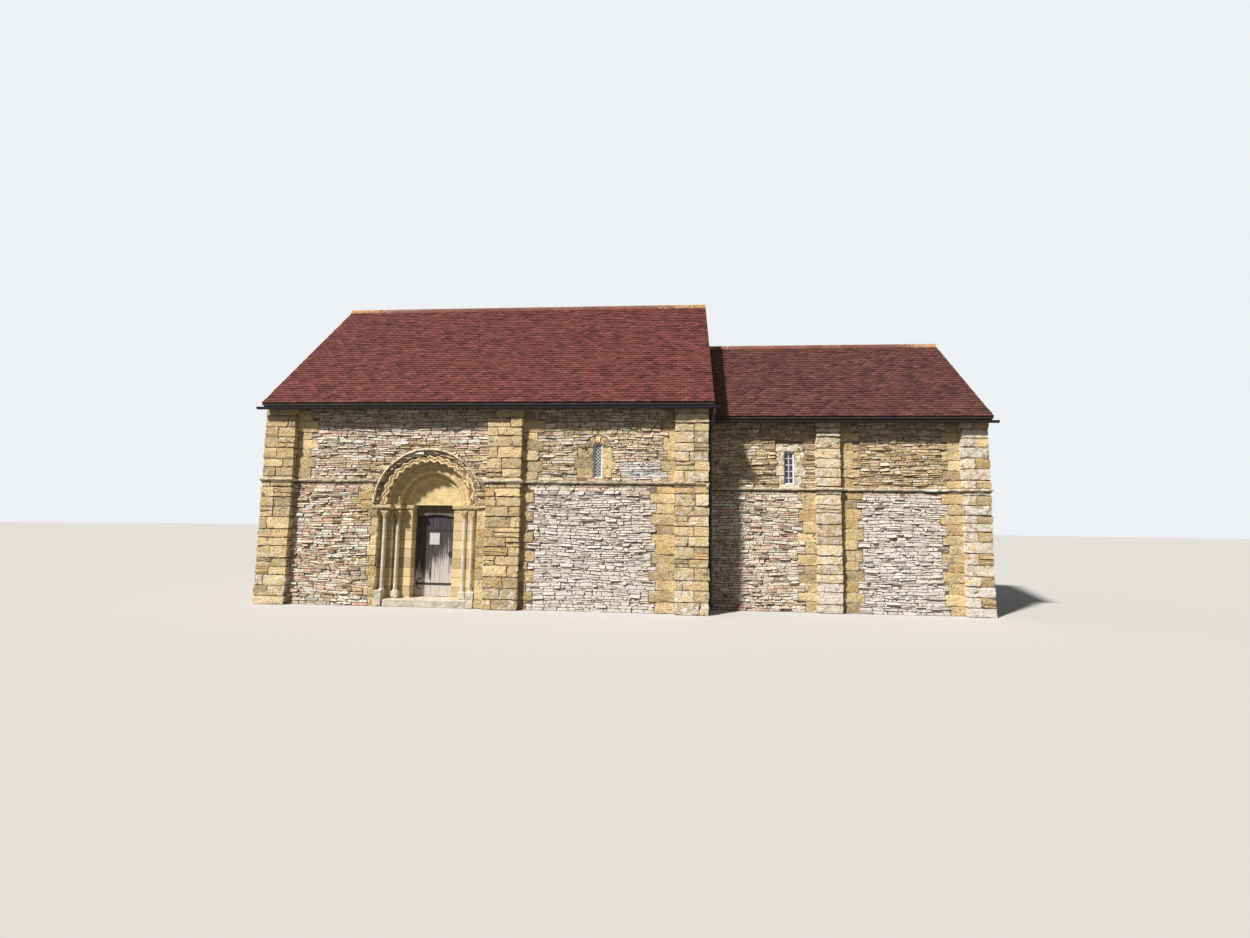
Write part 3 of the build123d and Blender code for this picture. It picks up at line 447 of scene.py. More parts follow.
class Masonry:
    """Stones gathered for one piece and made into one mesh"""

    split_above = 0.08
    level_near_ends = 0.35
    tilt = 0.18
    thinnest_edge, widest_edge = 0.02, 0.3

    def __init__(self, seed):
        self.random = np.random.default_rng(seed)
        self.stones = []

    def beds(self, bottom, top, mean, spread=0.3):
        """Levels of the beds between two heights"""
        count = max(1, round((top - bottom) / mean))
        heights = self.random.uniform(1 - spread, 1 + spread, count)
        return bottom + np.concatenate(([0], np.cumsum(heights))) * (top - bottom) / heights.sum()

    def block(self, wall, left, right, bottom, top, cut):
        """One squared block"""
        self.stone(wall, (left, right, left, right), (bottom, bottom, top, top), cut)

    def stone(self, wall, sides, levels, cut):
        """One stone: sides are left and right at the foot and at the head, and so are levels"""
        gap = 0 if self.random.random() < cut.flush else cut.joint / 2
        shape = (*np.add(sides, (gap, -gap, gap, -gap)), *np.add(levels, (gap, gap, -gap, -gap)))
        middle = (sides[0] + sides[1]) / 2, (levels[0] + levels[2]) / 2
        self.add(wall, False, shape, middle, cut, gap == 0)

    def wedge(self, wall, centre, radii, turns, cut):
        """One arch stone, between two radii and two shares of a half turn"""
        gap = cut.joint / 2
        swing = gap / radii[0] / math.pi
        ends = math.pi * (1 - turns[0] - swing), math.pi * (1 - turns[1] + swing)
        self.add(wall, True, (*centre, radii[0] + gap, radii[1] - gap, *ends, 0, 0), centre, cut)

    def add(self, wall, polar, shape, middle, cut, flush=False):
        """Keep a stone's shape, and the looks that belong to its place"""
        proud = value_at(cut.proud, *middle) * self.random.choice(cut.steps) * self.random.uniform(0.8, 1.2)
        back = 0.6 * proud if cut.back > SOLID_BACK and flush else cut.back
        looks = value_at(cut.warm, *middle), value_at(cut.bleach, *middle)
        self.stones.append(((wall, polar), (*shape, proud, back, cut.edge, cut.jitter, *looks)))

    def course(self, wall, span, low, high, cut):
        """A course of stones between two bed lines, in one free stretch"""
        left_foot, left_head, right_foot, right_head = span
        start, end = max(left_foot, left_head), min(right_foot, right_head)
        if end - start < cut.shortest / 2:
            return
        cuts = [start]
        while end - cuts[-1] > cut.longest:
            cuts.append(cuts[-1] + self.random.uniform(cut.shortest, cut.longest))
        if end - cuts[-1] > cut.shortest or len(cuts) == 1:
            cuts.append(end)
        else:
            cuts[-1] = end
        for index, (left, right) in enumerate(pairwise(cuts)):
            lean = self.random.normal(0, cut.lean, 2)
            sides = [left + lean[0], right + lean[1], left - lean[0], right - lean[1]]
            if index == 0:
                sides[0], sides[2] = left_foot, left_head
            if index == len(cuts) - 2:
                sides[1], sides[3] = right_foot, right_head
            levels = low(left), low(right), high(left), high(right)
            if levels[2] - levels[0] > self.split_above and self.random.random() < cut.split:
                share = self.random.uniform(0.4, 0.6)
                waist = [foot + (head - foot) * share for foot, head in zip(sides[:2], sides[2:])]
                middle = [foot + (head - foot) * share for foot, head in zip(levels[:2], levels[2:])]
                self.stone(wall, (*sides[:2], *waist), (*levels[:2], *middle), cut)
                self.stone(wall, (*waist, *sides[2:]), (*middle, *levels[2:]), cut)
            else:
                self.stone(wall, sides, levels, cut)

    def panel(self, wall, outline, holes, levels, cut):
        """Courses that fill a face between its outline and its holes"""
        shift = self.random.uniform(0, 2 * math.pi, 3)
        wander = self.random.normal(0, 0.25, (len(levels), 2))
        to_end = np.minimum(levels - levels[0], levels[-1] - levels)
        damping = np.clip(to_end / self.level_near_ends, 0, 1)

        def bed(index):
            """A bed line, which swings in a slow and a quick wave"""
            level, swing = levels[index], cut.wave * damping[index]
            slow = shift[0] + 0.12 * index + wander[index, 0]
            quick = shift[1] + 0.9 * index + wander[index, 1]
            return lambda u: level + swing * (math.sin(1.9 * u + slow) + 0.35 * math.sin(7.3 * u + quick))

        for index, (low, high) in enumerate(pairwise(levels)):
            for span in open_spans(outline, holes, low, high):
                self.course(wall, span, bed(index), bed(index + 1), cut)

    def strip(self, wall, fixed, free, levels, cut, tooth=0.09):
        """Blocks from a straight edge to a toothed one; gives back where they lie"""
        laid = []
        for index, (low, high) in enumerate(pairwise(levels)):
            swing = tooth * (1 if index % 2 else -1) * self.random.uniform(0.4, 1)
            ends = sorted((fixed, free + math.copysign(swing, swing * (free - fixed))))
            self.block(wall, *ends, low, high, cut)
            laid.append((*ends, low, high))
        return laid

    def build(self, name, size, material, slot):
        """Make the piece: every stone is a grid with its rim let into the joint"""
        grids, marks = [], []
        for kind in dict.fromkeys(stone[0] for stone in self.stones):
            wall, polar = kind
            data = np.array([stone[1] for stone in self.stones if stone[0] == kind], float)
            u, z, depth, rim = self.pillows(data, polar, *size)
            grids.append(wall.points(u, z, depth))
            tone = self.random.random(len(data))
            looks = [np.broadcast_to(v[:, None, None], u.shape) for v in (tone, data[:, 12], data[:, 13])]
            rim = np.where(data[:, 9, None, None] < SOLID_BACK, 1, rim)
            marks.append(np.stack([*looks, rim], -1))
        piece = grid_mesh(name, np.concatenate(grids), material)
        marks = np.concatenate(marks)
        for index, label in enumerate(("tone", "warm", "bleach", "face")):
            mark(piece, label, marks[..., index])

    def pillows(self, data, polar, columns, rows):
        """Wall coordinates of each stone's grid, and 0 on its rim"""
        normal = self.random.normal
        a, b, c, d, e, f, g, h, proud, back, edge, jitter = data.T[:12, :, None, None]
        if polar:
            length, height = (c + d) / 2 * abs(e - f), d - c
        else:
            length, height = (b - a + d - c) / 2, (g - e + h - f) / 2
        s = self.fractions(edge / length, columns)[:, :, None]
        t = self.fractions(edge / height, rows)[:, None, :]
        side, end = 2 * s - 1, 2 * t - 1
        if polar:
            turn, radius = e + (f - e) * s, c + (d - c) * t
            u, z = a + radius * np.cos(turn), b + radius * np.sin(turn)
        else:
            left, right = a + (c - a) * t, b + (d - b) * t
            bottom, top = e + (f - e) * s, g + (h - g) * s
            corner = 0.5 * edge * (np.abs(side) * np.abs(end)) ** 5
            u = left + (right - left) * s - np.sign(side) * corner
            z = bottom + (top - bottom) * t - np.sign(end) * corner
        inside = np.ones(u.shape)
        inside[:, (0, -1), :] = 0
        inside[:, :, (0, -1)] = 0
        u = u + normal(0, 0.6, u.shape) * jitter
        z = np.maximum(z + normal(0, 0.5, u.shape) * jitter, 0.001)
        tilt = normal(0, self.tilt, (2, len(data), 1, 1)) * proud
        bulge = 1 - 0.25 * np.maximum(np.abs(side), np.abs(end)) ** 4
        front = proud * bulge + tilt[0] * side + tilt[1] * end + normal(0, 0.5, u.shape) * jitter
        return u, z, np.where(inside > 0, front, back), inside

    def fractions(self, share, inner):
        """Places across a stone: its two sides, and evenly between its edges"""
        share = np.clip(share[:, :, 0], self.thinnest_edge, self.widest_edge)
        between = share + (1 - 2 * share) * np.linspace(0, 1, inner)
        zero = np.zeros_like(share)
        return np.concatenate((zero, between, zero + 1), 1)


def grid_mesh(name, points, material, body=CHAPEL, smooth=32):
    """A piece made of like grids, given as an array of (grid, column, row, 3)"""
    count, columns, rows = points.shape[:3]
    index = np.arange(columns * rows).reshape(columns, rows)
    quads = np.stack([index[:-1, :-1], index[1:, :-1], index[1:, 1:], index[:-1, 1:]], -1).reshape(-1, 4)
    loops = (np.arange(count)[:, None, None] * columns * rows + quads).astype(np.int32).ravel()
    mesh = bpy.data.meshes.new(name)
    mesh.vertices.add(count * columns * rows)
    mesh.vertices.foreach_set("co", points.astype(np.float32).ravel())
    mesh.loops.add(loops.size)
    mesh.loops.foreach_set("vertex_index", loops)
    mesh.polygons.add(loops.size // 4)
    mesh.polygons.foreach_set("loop_start", np.arange(0, loops.size, 4, dtype=np.int32))
    mesh.update(calc_edges=True)
    mesh.materials.append(material)
    mesh.shade_smooth()
    mesh.set_sharp_from_angle(angle=math.radians(smooth))
    piece = bpy.data.objects.new(name, mesh)
    bpy.context.scene.collection.objects.link(piece)
    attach(piece, body)
    return piece


def mark(piece, label, values):
    """Store a number at each corner of a mesh for its material to read"""
    layer = piece.data.attributes.new(label, "FLOAT", "POINT")
    layer.data.foreach_set("value", np.asarray(values, np.float32).ravel())


def worn(node, voxel, depth, material, slot, seed):
    """A weathered copy of a CAD piece, shown in its place"""
    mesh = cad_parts[node].data.copy()
    work = bmesh.new()
    work.from_mesh(mesh)
    bmesh.ops.remove_doubles(work, verts=work.verts, dist=1e-5)
    work.to_mesh(mesh)
    work.free()
    piece = bpy.data.objects.new(f"{node}_worn", mesh)
    bpy.context.scene.collection.objects.link(piece)
    remesh = piece.modifiers.new("remesh", "REMESH")
    remesh.mode = "VOXEL"
    remesh.voxel_size = voxel
    mesh = bpy.data.meshes.new_from_object(piece.evaluated_get(bpy.context.evaluated_depsgraph_get()))
    piece.modifiers.clear()
    piece.data = mesh
    points = read(mesh, "co")
    shift = Vector((seed * 7.1, seed * 3.7, seed * 5.3))
    places = [Vector(point) + shift for point in points]
    coarse, fine = 6, 26
    chips = np.array([noise.fractal(place * coarse, 0.6, 2.0, 4) for place in places])
    grain = np.array([noise.fractal(place * fine, 0.7, 2.0, 3) for place in places])
    lost = np.maximum(chips + 0.12, 0) + 0.35 * np.maximum(grain + 0.3, 0)
    moved = np.clip(points - depth * lost[:, None] * read(mesh, "normal"), *np.array(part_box(node)))
    mesh.vertices.foreach_set("co", moved.astype(np.float32).ravel())
    mesh.materials.clear()
    mesh.materials.append(material)
    mesh.shade_smooth()
    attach(piece, CHAPEL)
    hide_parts(node)


# Materials

LIMEWASHED = (0.97, 0.95, 0.92)
OPEN_JOINT = (0.05, 0.033, 0.022)
SPECKLED = (0.3, (0.62, 0.60, 0.55)), (0.55, (1, 1, 1)), (0.8, (1.2, 1.18, 1.12))


def shade(colour, light):
    """A lighter or darker tone of a colour"""
    return tuple(min(light * c, 1) for c in colour)


def stone_material(name, settings, dressed):
    """Stones: tone, warmth and lichen come from each stone's own marks"""
    shader = Shader(name)
    if dressed:
        pit, opened, pointing, grain = (0.59, 0.66), (0.56, 0.64), (0.60, 0.48, 0.30), 20
    else:
        pit, opened, pointing, grain = (0.61, 0.69), (0.47, 0.56), (0.66, 0.55, 0.43), 30
    tone, warm, bleach, face = (shader.attribute(label) for label in ("tone", "warm", "bleach", "face"))
    rubble = tone.tones(settings.rubble, (0, 0.4), (0.08, 0.72), (0.30, 1.05), (0.72, 1.3), (1, 1.55))
    pink = shader.mix((tone * 7.3).fraction().step(0.62, 0.9) * 0.8, rubble, (0.74, 0.44, 0.32))
    ochre = tone.tones(settings.ochre, (0, 0.66), (0.25, 0.9), (0.65, 1.06), (1, 1.36))
    orange = shader.mix((tone * 5.1).fraction().step(0.75, 0.95) * 0.6, ochre, (0.60, 0.38, 0.14))
    base = shader.mix(warm, pink, orange)
    clouds = (0.28, (0.70, 0.67, 0.62)), (0.5, (1, 1, 1)), (0.75, (1.22, 1.18, 1.12))
    base = shader.mottle(0.8, base, shader.noise(3.2, 4.0, 0.6), *clouds)
    specks = (0.30, (0.46, 0.40, 0.34)), (0.45, (1, 1, 1)), (0.72, (1.4, 1.37, 1.3))
    base = shader.mottle(1.0, base, shader.noise(30, 5.0, 0.75), *specks)
    patches = shader.noise(9, 6.0, 0.75) + bleach * 0.34
    base = shader.mix(patches.step(0.58, 0.74) * 0.92, base, settings.lichen)
    base = shader.mix((bleach - 1).step(0.0, 0.1), base, LIMEWASHED)
    gold = shader.noise(14, 4.0, 0.7) * shader.noise(2.3, 1.0).step(0.42, 0.62)
    base = shader.mix(gold.step(0.52, 0.64) * 0.6, base, (0.60, 0.40, 0.13))
    pits = (shader.noise(17, 5.0, 0.8) - bleach * 0.03).step(*pit)
    base = shader.mix(pits * 0.75, base, (0.16, 0.105, 0.06))
    rim = (1 - face).step(0.25, 0.75)
    base = shader.mix(rim * 0.7, base, pointing)
    base = shader.mix(rim * shader.noise(5, 3.0, 0.6).step(*opened) * 0.9, base, OPEN_JOINT)
    # Painted shadow: a dark band just under each string course, where the string casts its shadow
    level = shader.axis("Z") + shader.noise(4, 3.0) * 0.02 - 0.01
    divide = NAVE.east + 0.1
    nave = (shader.axis("X") < divide) * (NAVE.string[0] - level)
    below = nave + (shader.axis("X") > divide) * (CHANCEL.string[0] - level)
    painted_string_shadow = (below > -0.02) * (below < 0.045)
    base = shader.mix(painted_string_shadow * 0.75, base, (0.07, 0.05, 0.035))
    cells = shader.node("ShaderNodeTexVoronoi", {}, {"Vector": shader.place, "Scale": 44}, "Distance")
    return shader.surface(base, 0.95, shader.noise(grain, 6.0, 0.7) + cells * 0.25 - pits * 0.5, 0.04, 1.0)


def mortar_material(settings):
    """Lime mortar outside, darkened as painted shade of the deep joints, and limewash on the reveals and
    inside
    """
    shader = Shader("mortar")
    x, y = shader.axis("X"), shader.axis("Y")
    skin = 0.03
    room = (abs(y) < NAVE.face - skin) * (x > WEST_FACE + skin) * (x < NAVE.east - skin)
    sanctuary = (abs(y) < CHANCEL.face - skin) * (x > NAVE.east - skin) * (x < CHANCEL.east - skin)
    grit = shader.noise(60, 4.0, 0.7)
    # Painted shade: the dark mortar colour stands for the shade in the deep joints between stones
    base = shader.mix(grit, shade(settings.mortar, 0.7), shade(settings.mortar, 1.25))
    wash = shader.mix(shader.noise(4, 4.0), (0.66, 0.63, 0.57), (0.82, 0.79, 0.73))
    return shader.surface(shader.mix(room.at_least(sanctuary), base, wash), 0.95, grit, 0.006, 0.5)


def carved_material(name, colour, voussoirs, bleach):
    """Carved stone, with joints between the stones of an arch"""
    shader = Shader(name)
    clouds = shader.noise(5, 4.0, 0.6).step(0.3, 0.7)
    base = shader.mix(clouds, shade(colour, 0.78), shade(colour, 1.12))
    relief = shader.noise(30, 5.0, 0.65)
    if voussoirs:
        turn = shader.math("ARCTAN2", shader.axis("Z") - SPRINGING, shader.axis("X") - DOOR_X)
        turn = turn * (voussoirs / math.pi)
        base = shader.mix(turn.each() * 0.6, base, shade(colour, 1.3))
        joint = abs(turn.fraction() - 0.5).step(0.475, 0.492)
        base = shader.mix(joint * 0.7, base, (0.10, 0.07, 0.04))
        relief = relief - joint * 0.5
    base = shader.mottle(0.7, base, shader.noise(42, 3.0, 0.7), *SPECKLED)
    lichen = (shader.noise(8, 5.0, 0.7) + bleach * 0.3).step(0.64, 0.8)
    return shader.surface(shader.mix(lichen, base, (0.76, 0.71, 0.62)), 0.9, relief, 0.012, 0.7)


def coursed_material(name, colour):
    """Dressed stone laid in level courses, for the faces between the shafts"""
    shader = Shader(name)
    level = shader.axis("Z") / 0.215
    base = level.each().tones(colour, (0, 0.8), (0.5, 1.0), (1, 1.3))
    base = shader.mottle(0.7, base, shader.noise(40, 3.0, 0.7), *SPECKLED)
    joint = abs(level.fraction() - 0.5).step(0.465, 0.485)
    base = shader.mix(joint * 0.75, base, (0.12, 0.085, 0.055))
    return shader.surface(base, 0.92, shader.noise(30, 5.0, 0.65) - joint * 0.6, 0.012, 0.7)


def tile_material(name, colour, lichen):
    """Clay tiles: each has its own tone, with painted shade on the tails and turned-down sides, and lichen in
    patches
    """
    shader = Shader(name)
    tone = shader.attribute("tone")
    base = tone.tones(colour, (0, 0.5), (0.25, 0.85), (0.7, 1.08), (0.93, 1.25), (1, 1.5))
    base = shader.mix((tone * 11.7).fraction().step(0.92, 0.99) * 0.4, base, (0.24, 0.11, 0.08))
    streaks = (0.3, (0.8, 0.8, 0.84)), (0.7, (1.16, 1.12, 1.08))
    base = shader.mottle(0.6, base, shader.noise(1.7, 5.0, 0.6), *streaks)
    spots = (shader.noise(26, 4.0, 0.7) + shader.noise(2.1, 2.0) * 0.35).step(0.83, 0.92)
    base = shader.mix(spots * lichen, base, (0.40, 0.28, 0.23))
    # Painted shade: near-black on each tile's tail edge and turned-down sides, where they lie in shade
    base = shader.mix((1 - shader.attribute("face")) * 0.8, base, (0.03, 0.016, 0.013))
    matt = {"Specular IOR Level": 0.25}
    return shader.surface(base, 0.85, shader.noise(75, 3.0, 0.6), 0.003, 0.6, **matt)


def ridge_material(name, west, east):
    """Ridge tiles, with more lichen towards both ends of the ridge"""
    shader = Shader(name)
    x = shader.axis("X")
    ends = abs((x - (west + east) / 2) / ((east - west) / 2)).step(0.55, 1.0)
    base = shader.mix((x / 0.45).each(), (0.17, 0.065, 0.05), (0.26, 0.11, 0.08))
    patches = (shader.noise(16, 5.0, 0.7) + ends * 0.22).step(0.61, 0.74)
    base = shader.mix(patches, base, (0.50, 0.38, 0.32))
    gold = (shader.noise(23, 3.0, 0.7) + ends * 0.2).step(0.62, 0.72)
    base = shader.mix(gold, base, (0.55, 0.27, 0.05))
    return shader.surface(base, 0.88, shader.noise(50, 4.0), 0.006, 0.6)


def oak_material(name, dark, settings, bleached):
    """Oak with upright grain, bleached near the sill; its grey is partly weathering and partly painted light,
    growing towards the sunlit right side
    """
    shader = Shader(name)
    grain = shader.noise(6, 6.0, 0.7, (5.0, 5.0, 0.3))
    fibre = shader.noise(60, 4.0, 0.7, (4.0, 4.0, 0.12))
    base = grain.tones(dark, (0.25, 0.3), (0.5, 0.9), (0.75, 2.0))
    height = (shader.axis("Z") - LEAF_LOW.z) / (LEAF_HIGH.z - LEAF_LOW.z)
    across = (shader.axis("X") - LEAF_LOW.x) / (LEAF_HIGH.x - LEAF_LOW.x)
    board = (across * settings.boards).each()
    # Painted light in part: the grey grows towards the right and the bottom, where sunlight falls on the
    # door; bleached scales it as well as the bleached foot
    grey_wear_and_painted_light = (across * 0.7 - height + fibre * 0.6 + grain * 1.3 + board * 0.2).step(0.95, 1.2)
    base = shader.mix(grey_wear_and_painted_light * 0.85 * bleached, base, (0.38, 0.365, 0.40))
    foot = (across * 0.25 - height + grain * 0.9 + fibre * 0.3 + board * 0.15).step(0.36, 0.52)
    base = shader.mix(foot * bleached, base, settings.foot)
    base = shader.mix(fibre.step(0.56, 0.70) * 0.65, base, shade(dark, 0.4))
    crack = shader.noise(5, 5.0, 0.75, (6.0, 6.0, 0.35)).step(0.60, 0.66)
    base = shader.mix(crack * 0.8, base, shade(dark, 0.5))
    return shader.surface(base, 0.8, grain * 0.6 + fibre * 0.4, 0.006, 0.7)


def iron_material(name, colour, rust, roughness):
    """Painted or forged iron, with rust where it wears"""
    shader = Shader(name)
    wear = shader.noise(22, 5.0, 0.7)
    base = shader.mix(wear.step(0.58, 0.72) * rust, colour, (0.16, 0.07, 0.035))
    return shader.surface(base, roughness, wear, 0.002, 0.5, Metallic=0.25)


def glass_material():
    """Old leaded glass, made as an opaque sheet whose near-black colour is painted shade of the unlit room
    behind it
    """
    shader = Shader("old_glass")
    base = shader.mix(shader.noise(9, 2.0), (0.022, 0.026, 0.032), (0.07, 0.078, 0.09))
    return shader.surface(base, 0.12, shader.noise(11, 2.0), 0.004, 0.5)


def plain_material(name, colour, roughness, scale, depth):
    """A matt surface with slight mottling"""
    shader = Shader(name)
    mottle = shader.noise(scale, 4.0, 0.6)
    base = mottle.tones(colour, (0.25, 0.72), (0.5, 1.0), (0.8, 1.18))
    return shader.surface(base, roughness, mottle, depth, 0.6)


def dress(node, material):
    """Give a CAD node its finish"""
    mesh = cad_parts[node].data
    mesh.materials.clear()
    mesh.materials.append(material)


# Windows, from the glass in the frame

@dataclass
class Window:
    """A light in a wall, and how far its dressed stones reach to either side"""

    wall: Wall
    middle: float
    sill: float
    width: float
    height: float
    arched: bool
    reach: tuple = (0.3, 0.3)

    sill_reach, sill_depth = 0.12, 0.11
    lintel = 0.2
    ring, voussoirs = 0.18, 5

    def outline(self, inset=0.0):
        """Points round the light, from the sill's left end, clockwise and back again"""
        half = self.width / 2 - inset
        foot, head = self.sill + inset, self.sill + self.height - inset
        if not self.arched:
            return np.array([(-half, foot), (-half, head), (half, head), (half, foot), (-half, foot)])
        level = self.sill + self.height - self.width / 2
        arc = [(half * math.cos(turn), level + half * math.sin(turn)) for turn in np.linspace(math.pi, 0, 13)]
        return np.array([(-half, foot), *arc, (half, foot), (-half, foot)])

    def top_at(self, across):
        """Height of the light at a distance from its middle"""
        if not self.arched:
            return self.sill + self.height
        half = self.width / 2
        return self.sill + self.height - half + math.sqrt(max(half**2 - across**2, 0))

    def dress(self, masonry):
        """Lay the stones round the light; gives back the holes they fill"""
        half = self.width / 2
        cut = block_cut(shortest=0.15, longest=0.5, bleach=0.1 if self.arched else 0.5, proud=0.012)
        head = self.sill + self.height - (half if self.arched else 0)
        laid = []

        def lay(reach, bottom, top):
            ends = self.middle - half - reach, self.middle + half + reach
            masonry.block(self.wall, *ends, bottom, top, cut)
            laid.append((*ends, bottom, top))

        for side, reach in zip((-1, 1), self.reach):
            levels = masonry.beds(self.sill, head, 0.2)
            edge = self.middle + side * half
            laid += masonry.strip(self.wall, edge, edge + side * reach, levels, cut, 0.045)
        lay(self.sill_reach, self.sill - self.sill_depth, self.sill)
        if not self.arched:
            lay(self.lintel, head, head + self.lintel)
            return [blocks_hole(laid)]
        outer = half + self.ring
        for index in range(self.voussoirs):
            turns = index / self.voussoirs, (index + 1) / self.voussoirs
            masonry.wedge(self.wall, (self.middle, head), (half, outer), turns, cut)
        return [blocks_hole(laid), disc(self.middle, head, outer)]


def windows():
    """The six windows: arched in the nave and the gables, and square in the chancel's sides"""
    found = []
    gable_glass = 0.05
    for low, high in solids("window_glazing"):
        size, middle, north = high - low, (low.x + high.x) / 2, low.y > 0
        if size.x < gable_glass:
            wall = NAVE_WEST if low.x < 0 else CHANCEL_EAST
            found.append(Window(wall, 0.0, low.z, size.y, size.z, True))
            continue
        nave = middle < NAVE.east
        wall = ((CHANCEL_SOUTH, CHANCEL_NORTH), (NAVE_SOUTH, NAVE_NORTH))[nave][north]
        reach = (0.4, 0.25) if nave else (0.17, 0.2)
        found.append(Window(wall, -middle if north else middle, low.z, size.x, size.z, nave, reach))
    return found


class CHAPEL_OT_pilasters(bpy.types.Operator):
    """Lay squared blocks round the pilasters, with the corner stones taking turns"""

    bl_idname = "chapel.pilasters"
    bl_label = "Pilaster blocks"

    reach = 0.018
    bed = 0.3
    spread = 0.22
    paler_to_east, pale_foot = 0.036, 0.6

    def execute(self, context):
        material = stone_material("squared_stone", stone_settings(), True)
        for cell, seed, west in ((NAVE, 11, WEST_FACE), (CHANCEL, 12, -math.inf)):
            masonry = Masonry(seed)
            for low, high in cell.pilasters:
                self.pilaster(masonry, low, high, cell, low.x < west, high.x > cell.east)
            masonry.build(f"{cell.name}_pilasters_blocks", BLOCK_GRID, material, "ashlar_stone")
        return {"FINISHED"}

    def pilaster(self, masonry, low, high, cell, at_west, at_east):
        sign = 1 if low.y < 0 else -1
        outside = max(-low.y, high.y)
        front = Wall(0, -sign, outside)
        levels = masonry.beds(0, cell.under(outside + 0.03), stone_settings().block, self.spread)
        pale = 0.14 + self.paler_to_east * max(low.x, 0)
        cut = block_cut(back=-self.bed, bleach=lambda u, z: pale + 0.2 * (z < self.pale_foot))
        outer = 0 if at_west == (sign > 0) else 1
        for index, (bottom, top) in enumerate(pairwise(levels)):
            drawn_in = (at_west or at_east) and index % 2
            left, right = self.ends(sign * low.x, sign * high.x, outer, drawn_in)
            masonry.course(front, (left, left, right, right), flat(bottom), flat(top), cut)
        if at_west:
            self.flank(masonry, Wall(-1, 0, -low.x), sorted((-low.y, -high.y)), levels, cell)
        if at_east:
            self.flank(masonry, Wall(1, 0, high.x), sorted((low.y, high.y)), levels, cell)

    def flank(self, masonry, wall, edges, levels, cell):
        """A corner pilaster's face on the gable, carried up under the rake"""
        outer = 0 if edges[0] < 0 else 1
        peak = cell.under(abs(edges[1 - outer]))
        upper = masonry.beds(levels[-1], peak, stone_settings().block, self.spread)
        cut = block_cut(back=-self.bed, bleach=0.15)
        for index, (bottom, top) in enumerate(pairwise((*levels, *upper[1:]))):
            drawn_in = index % 2 == 0 and index < len(levels) - 1
            left, right = self.ends(*edges, outer, drawn_in)
            foot, head = cell.out(bottom), cell.out(top)
            sides = max(left, -foot), max(left, -head), min(right, foot), min(right, head)
            masonry.course(wall, sides, flat(bottom), flat(top), cut)

    def ends(self, one, other, outer, drawn_in):
        """A course's ends, drawn in where the next face's corner stone passes in front"""
        left, right = sorted((one, other))
        found = [left - self.reach, right + self.reach]
        if drawn_in:
            found[outer] += (1, -1)[outer] * (self.bed + self.reach)
        return found


def string_shadow(z, string):
    """Stones lie back just under a string course, so that its shadow is deep"""
    return 0.2 if -0.02 < string - z < 0.11 else 1.0


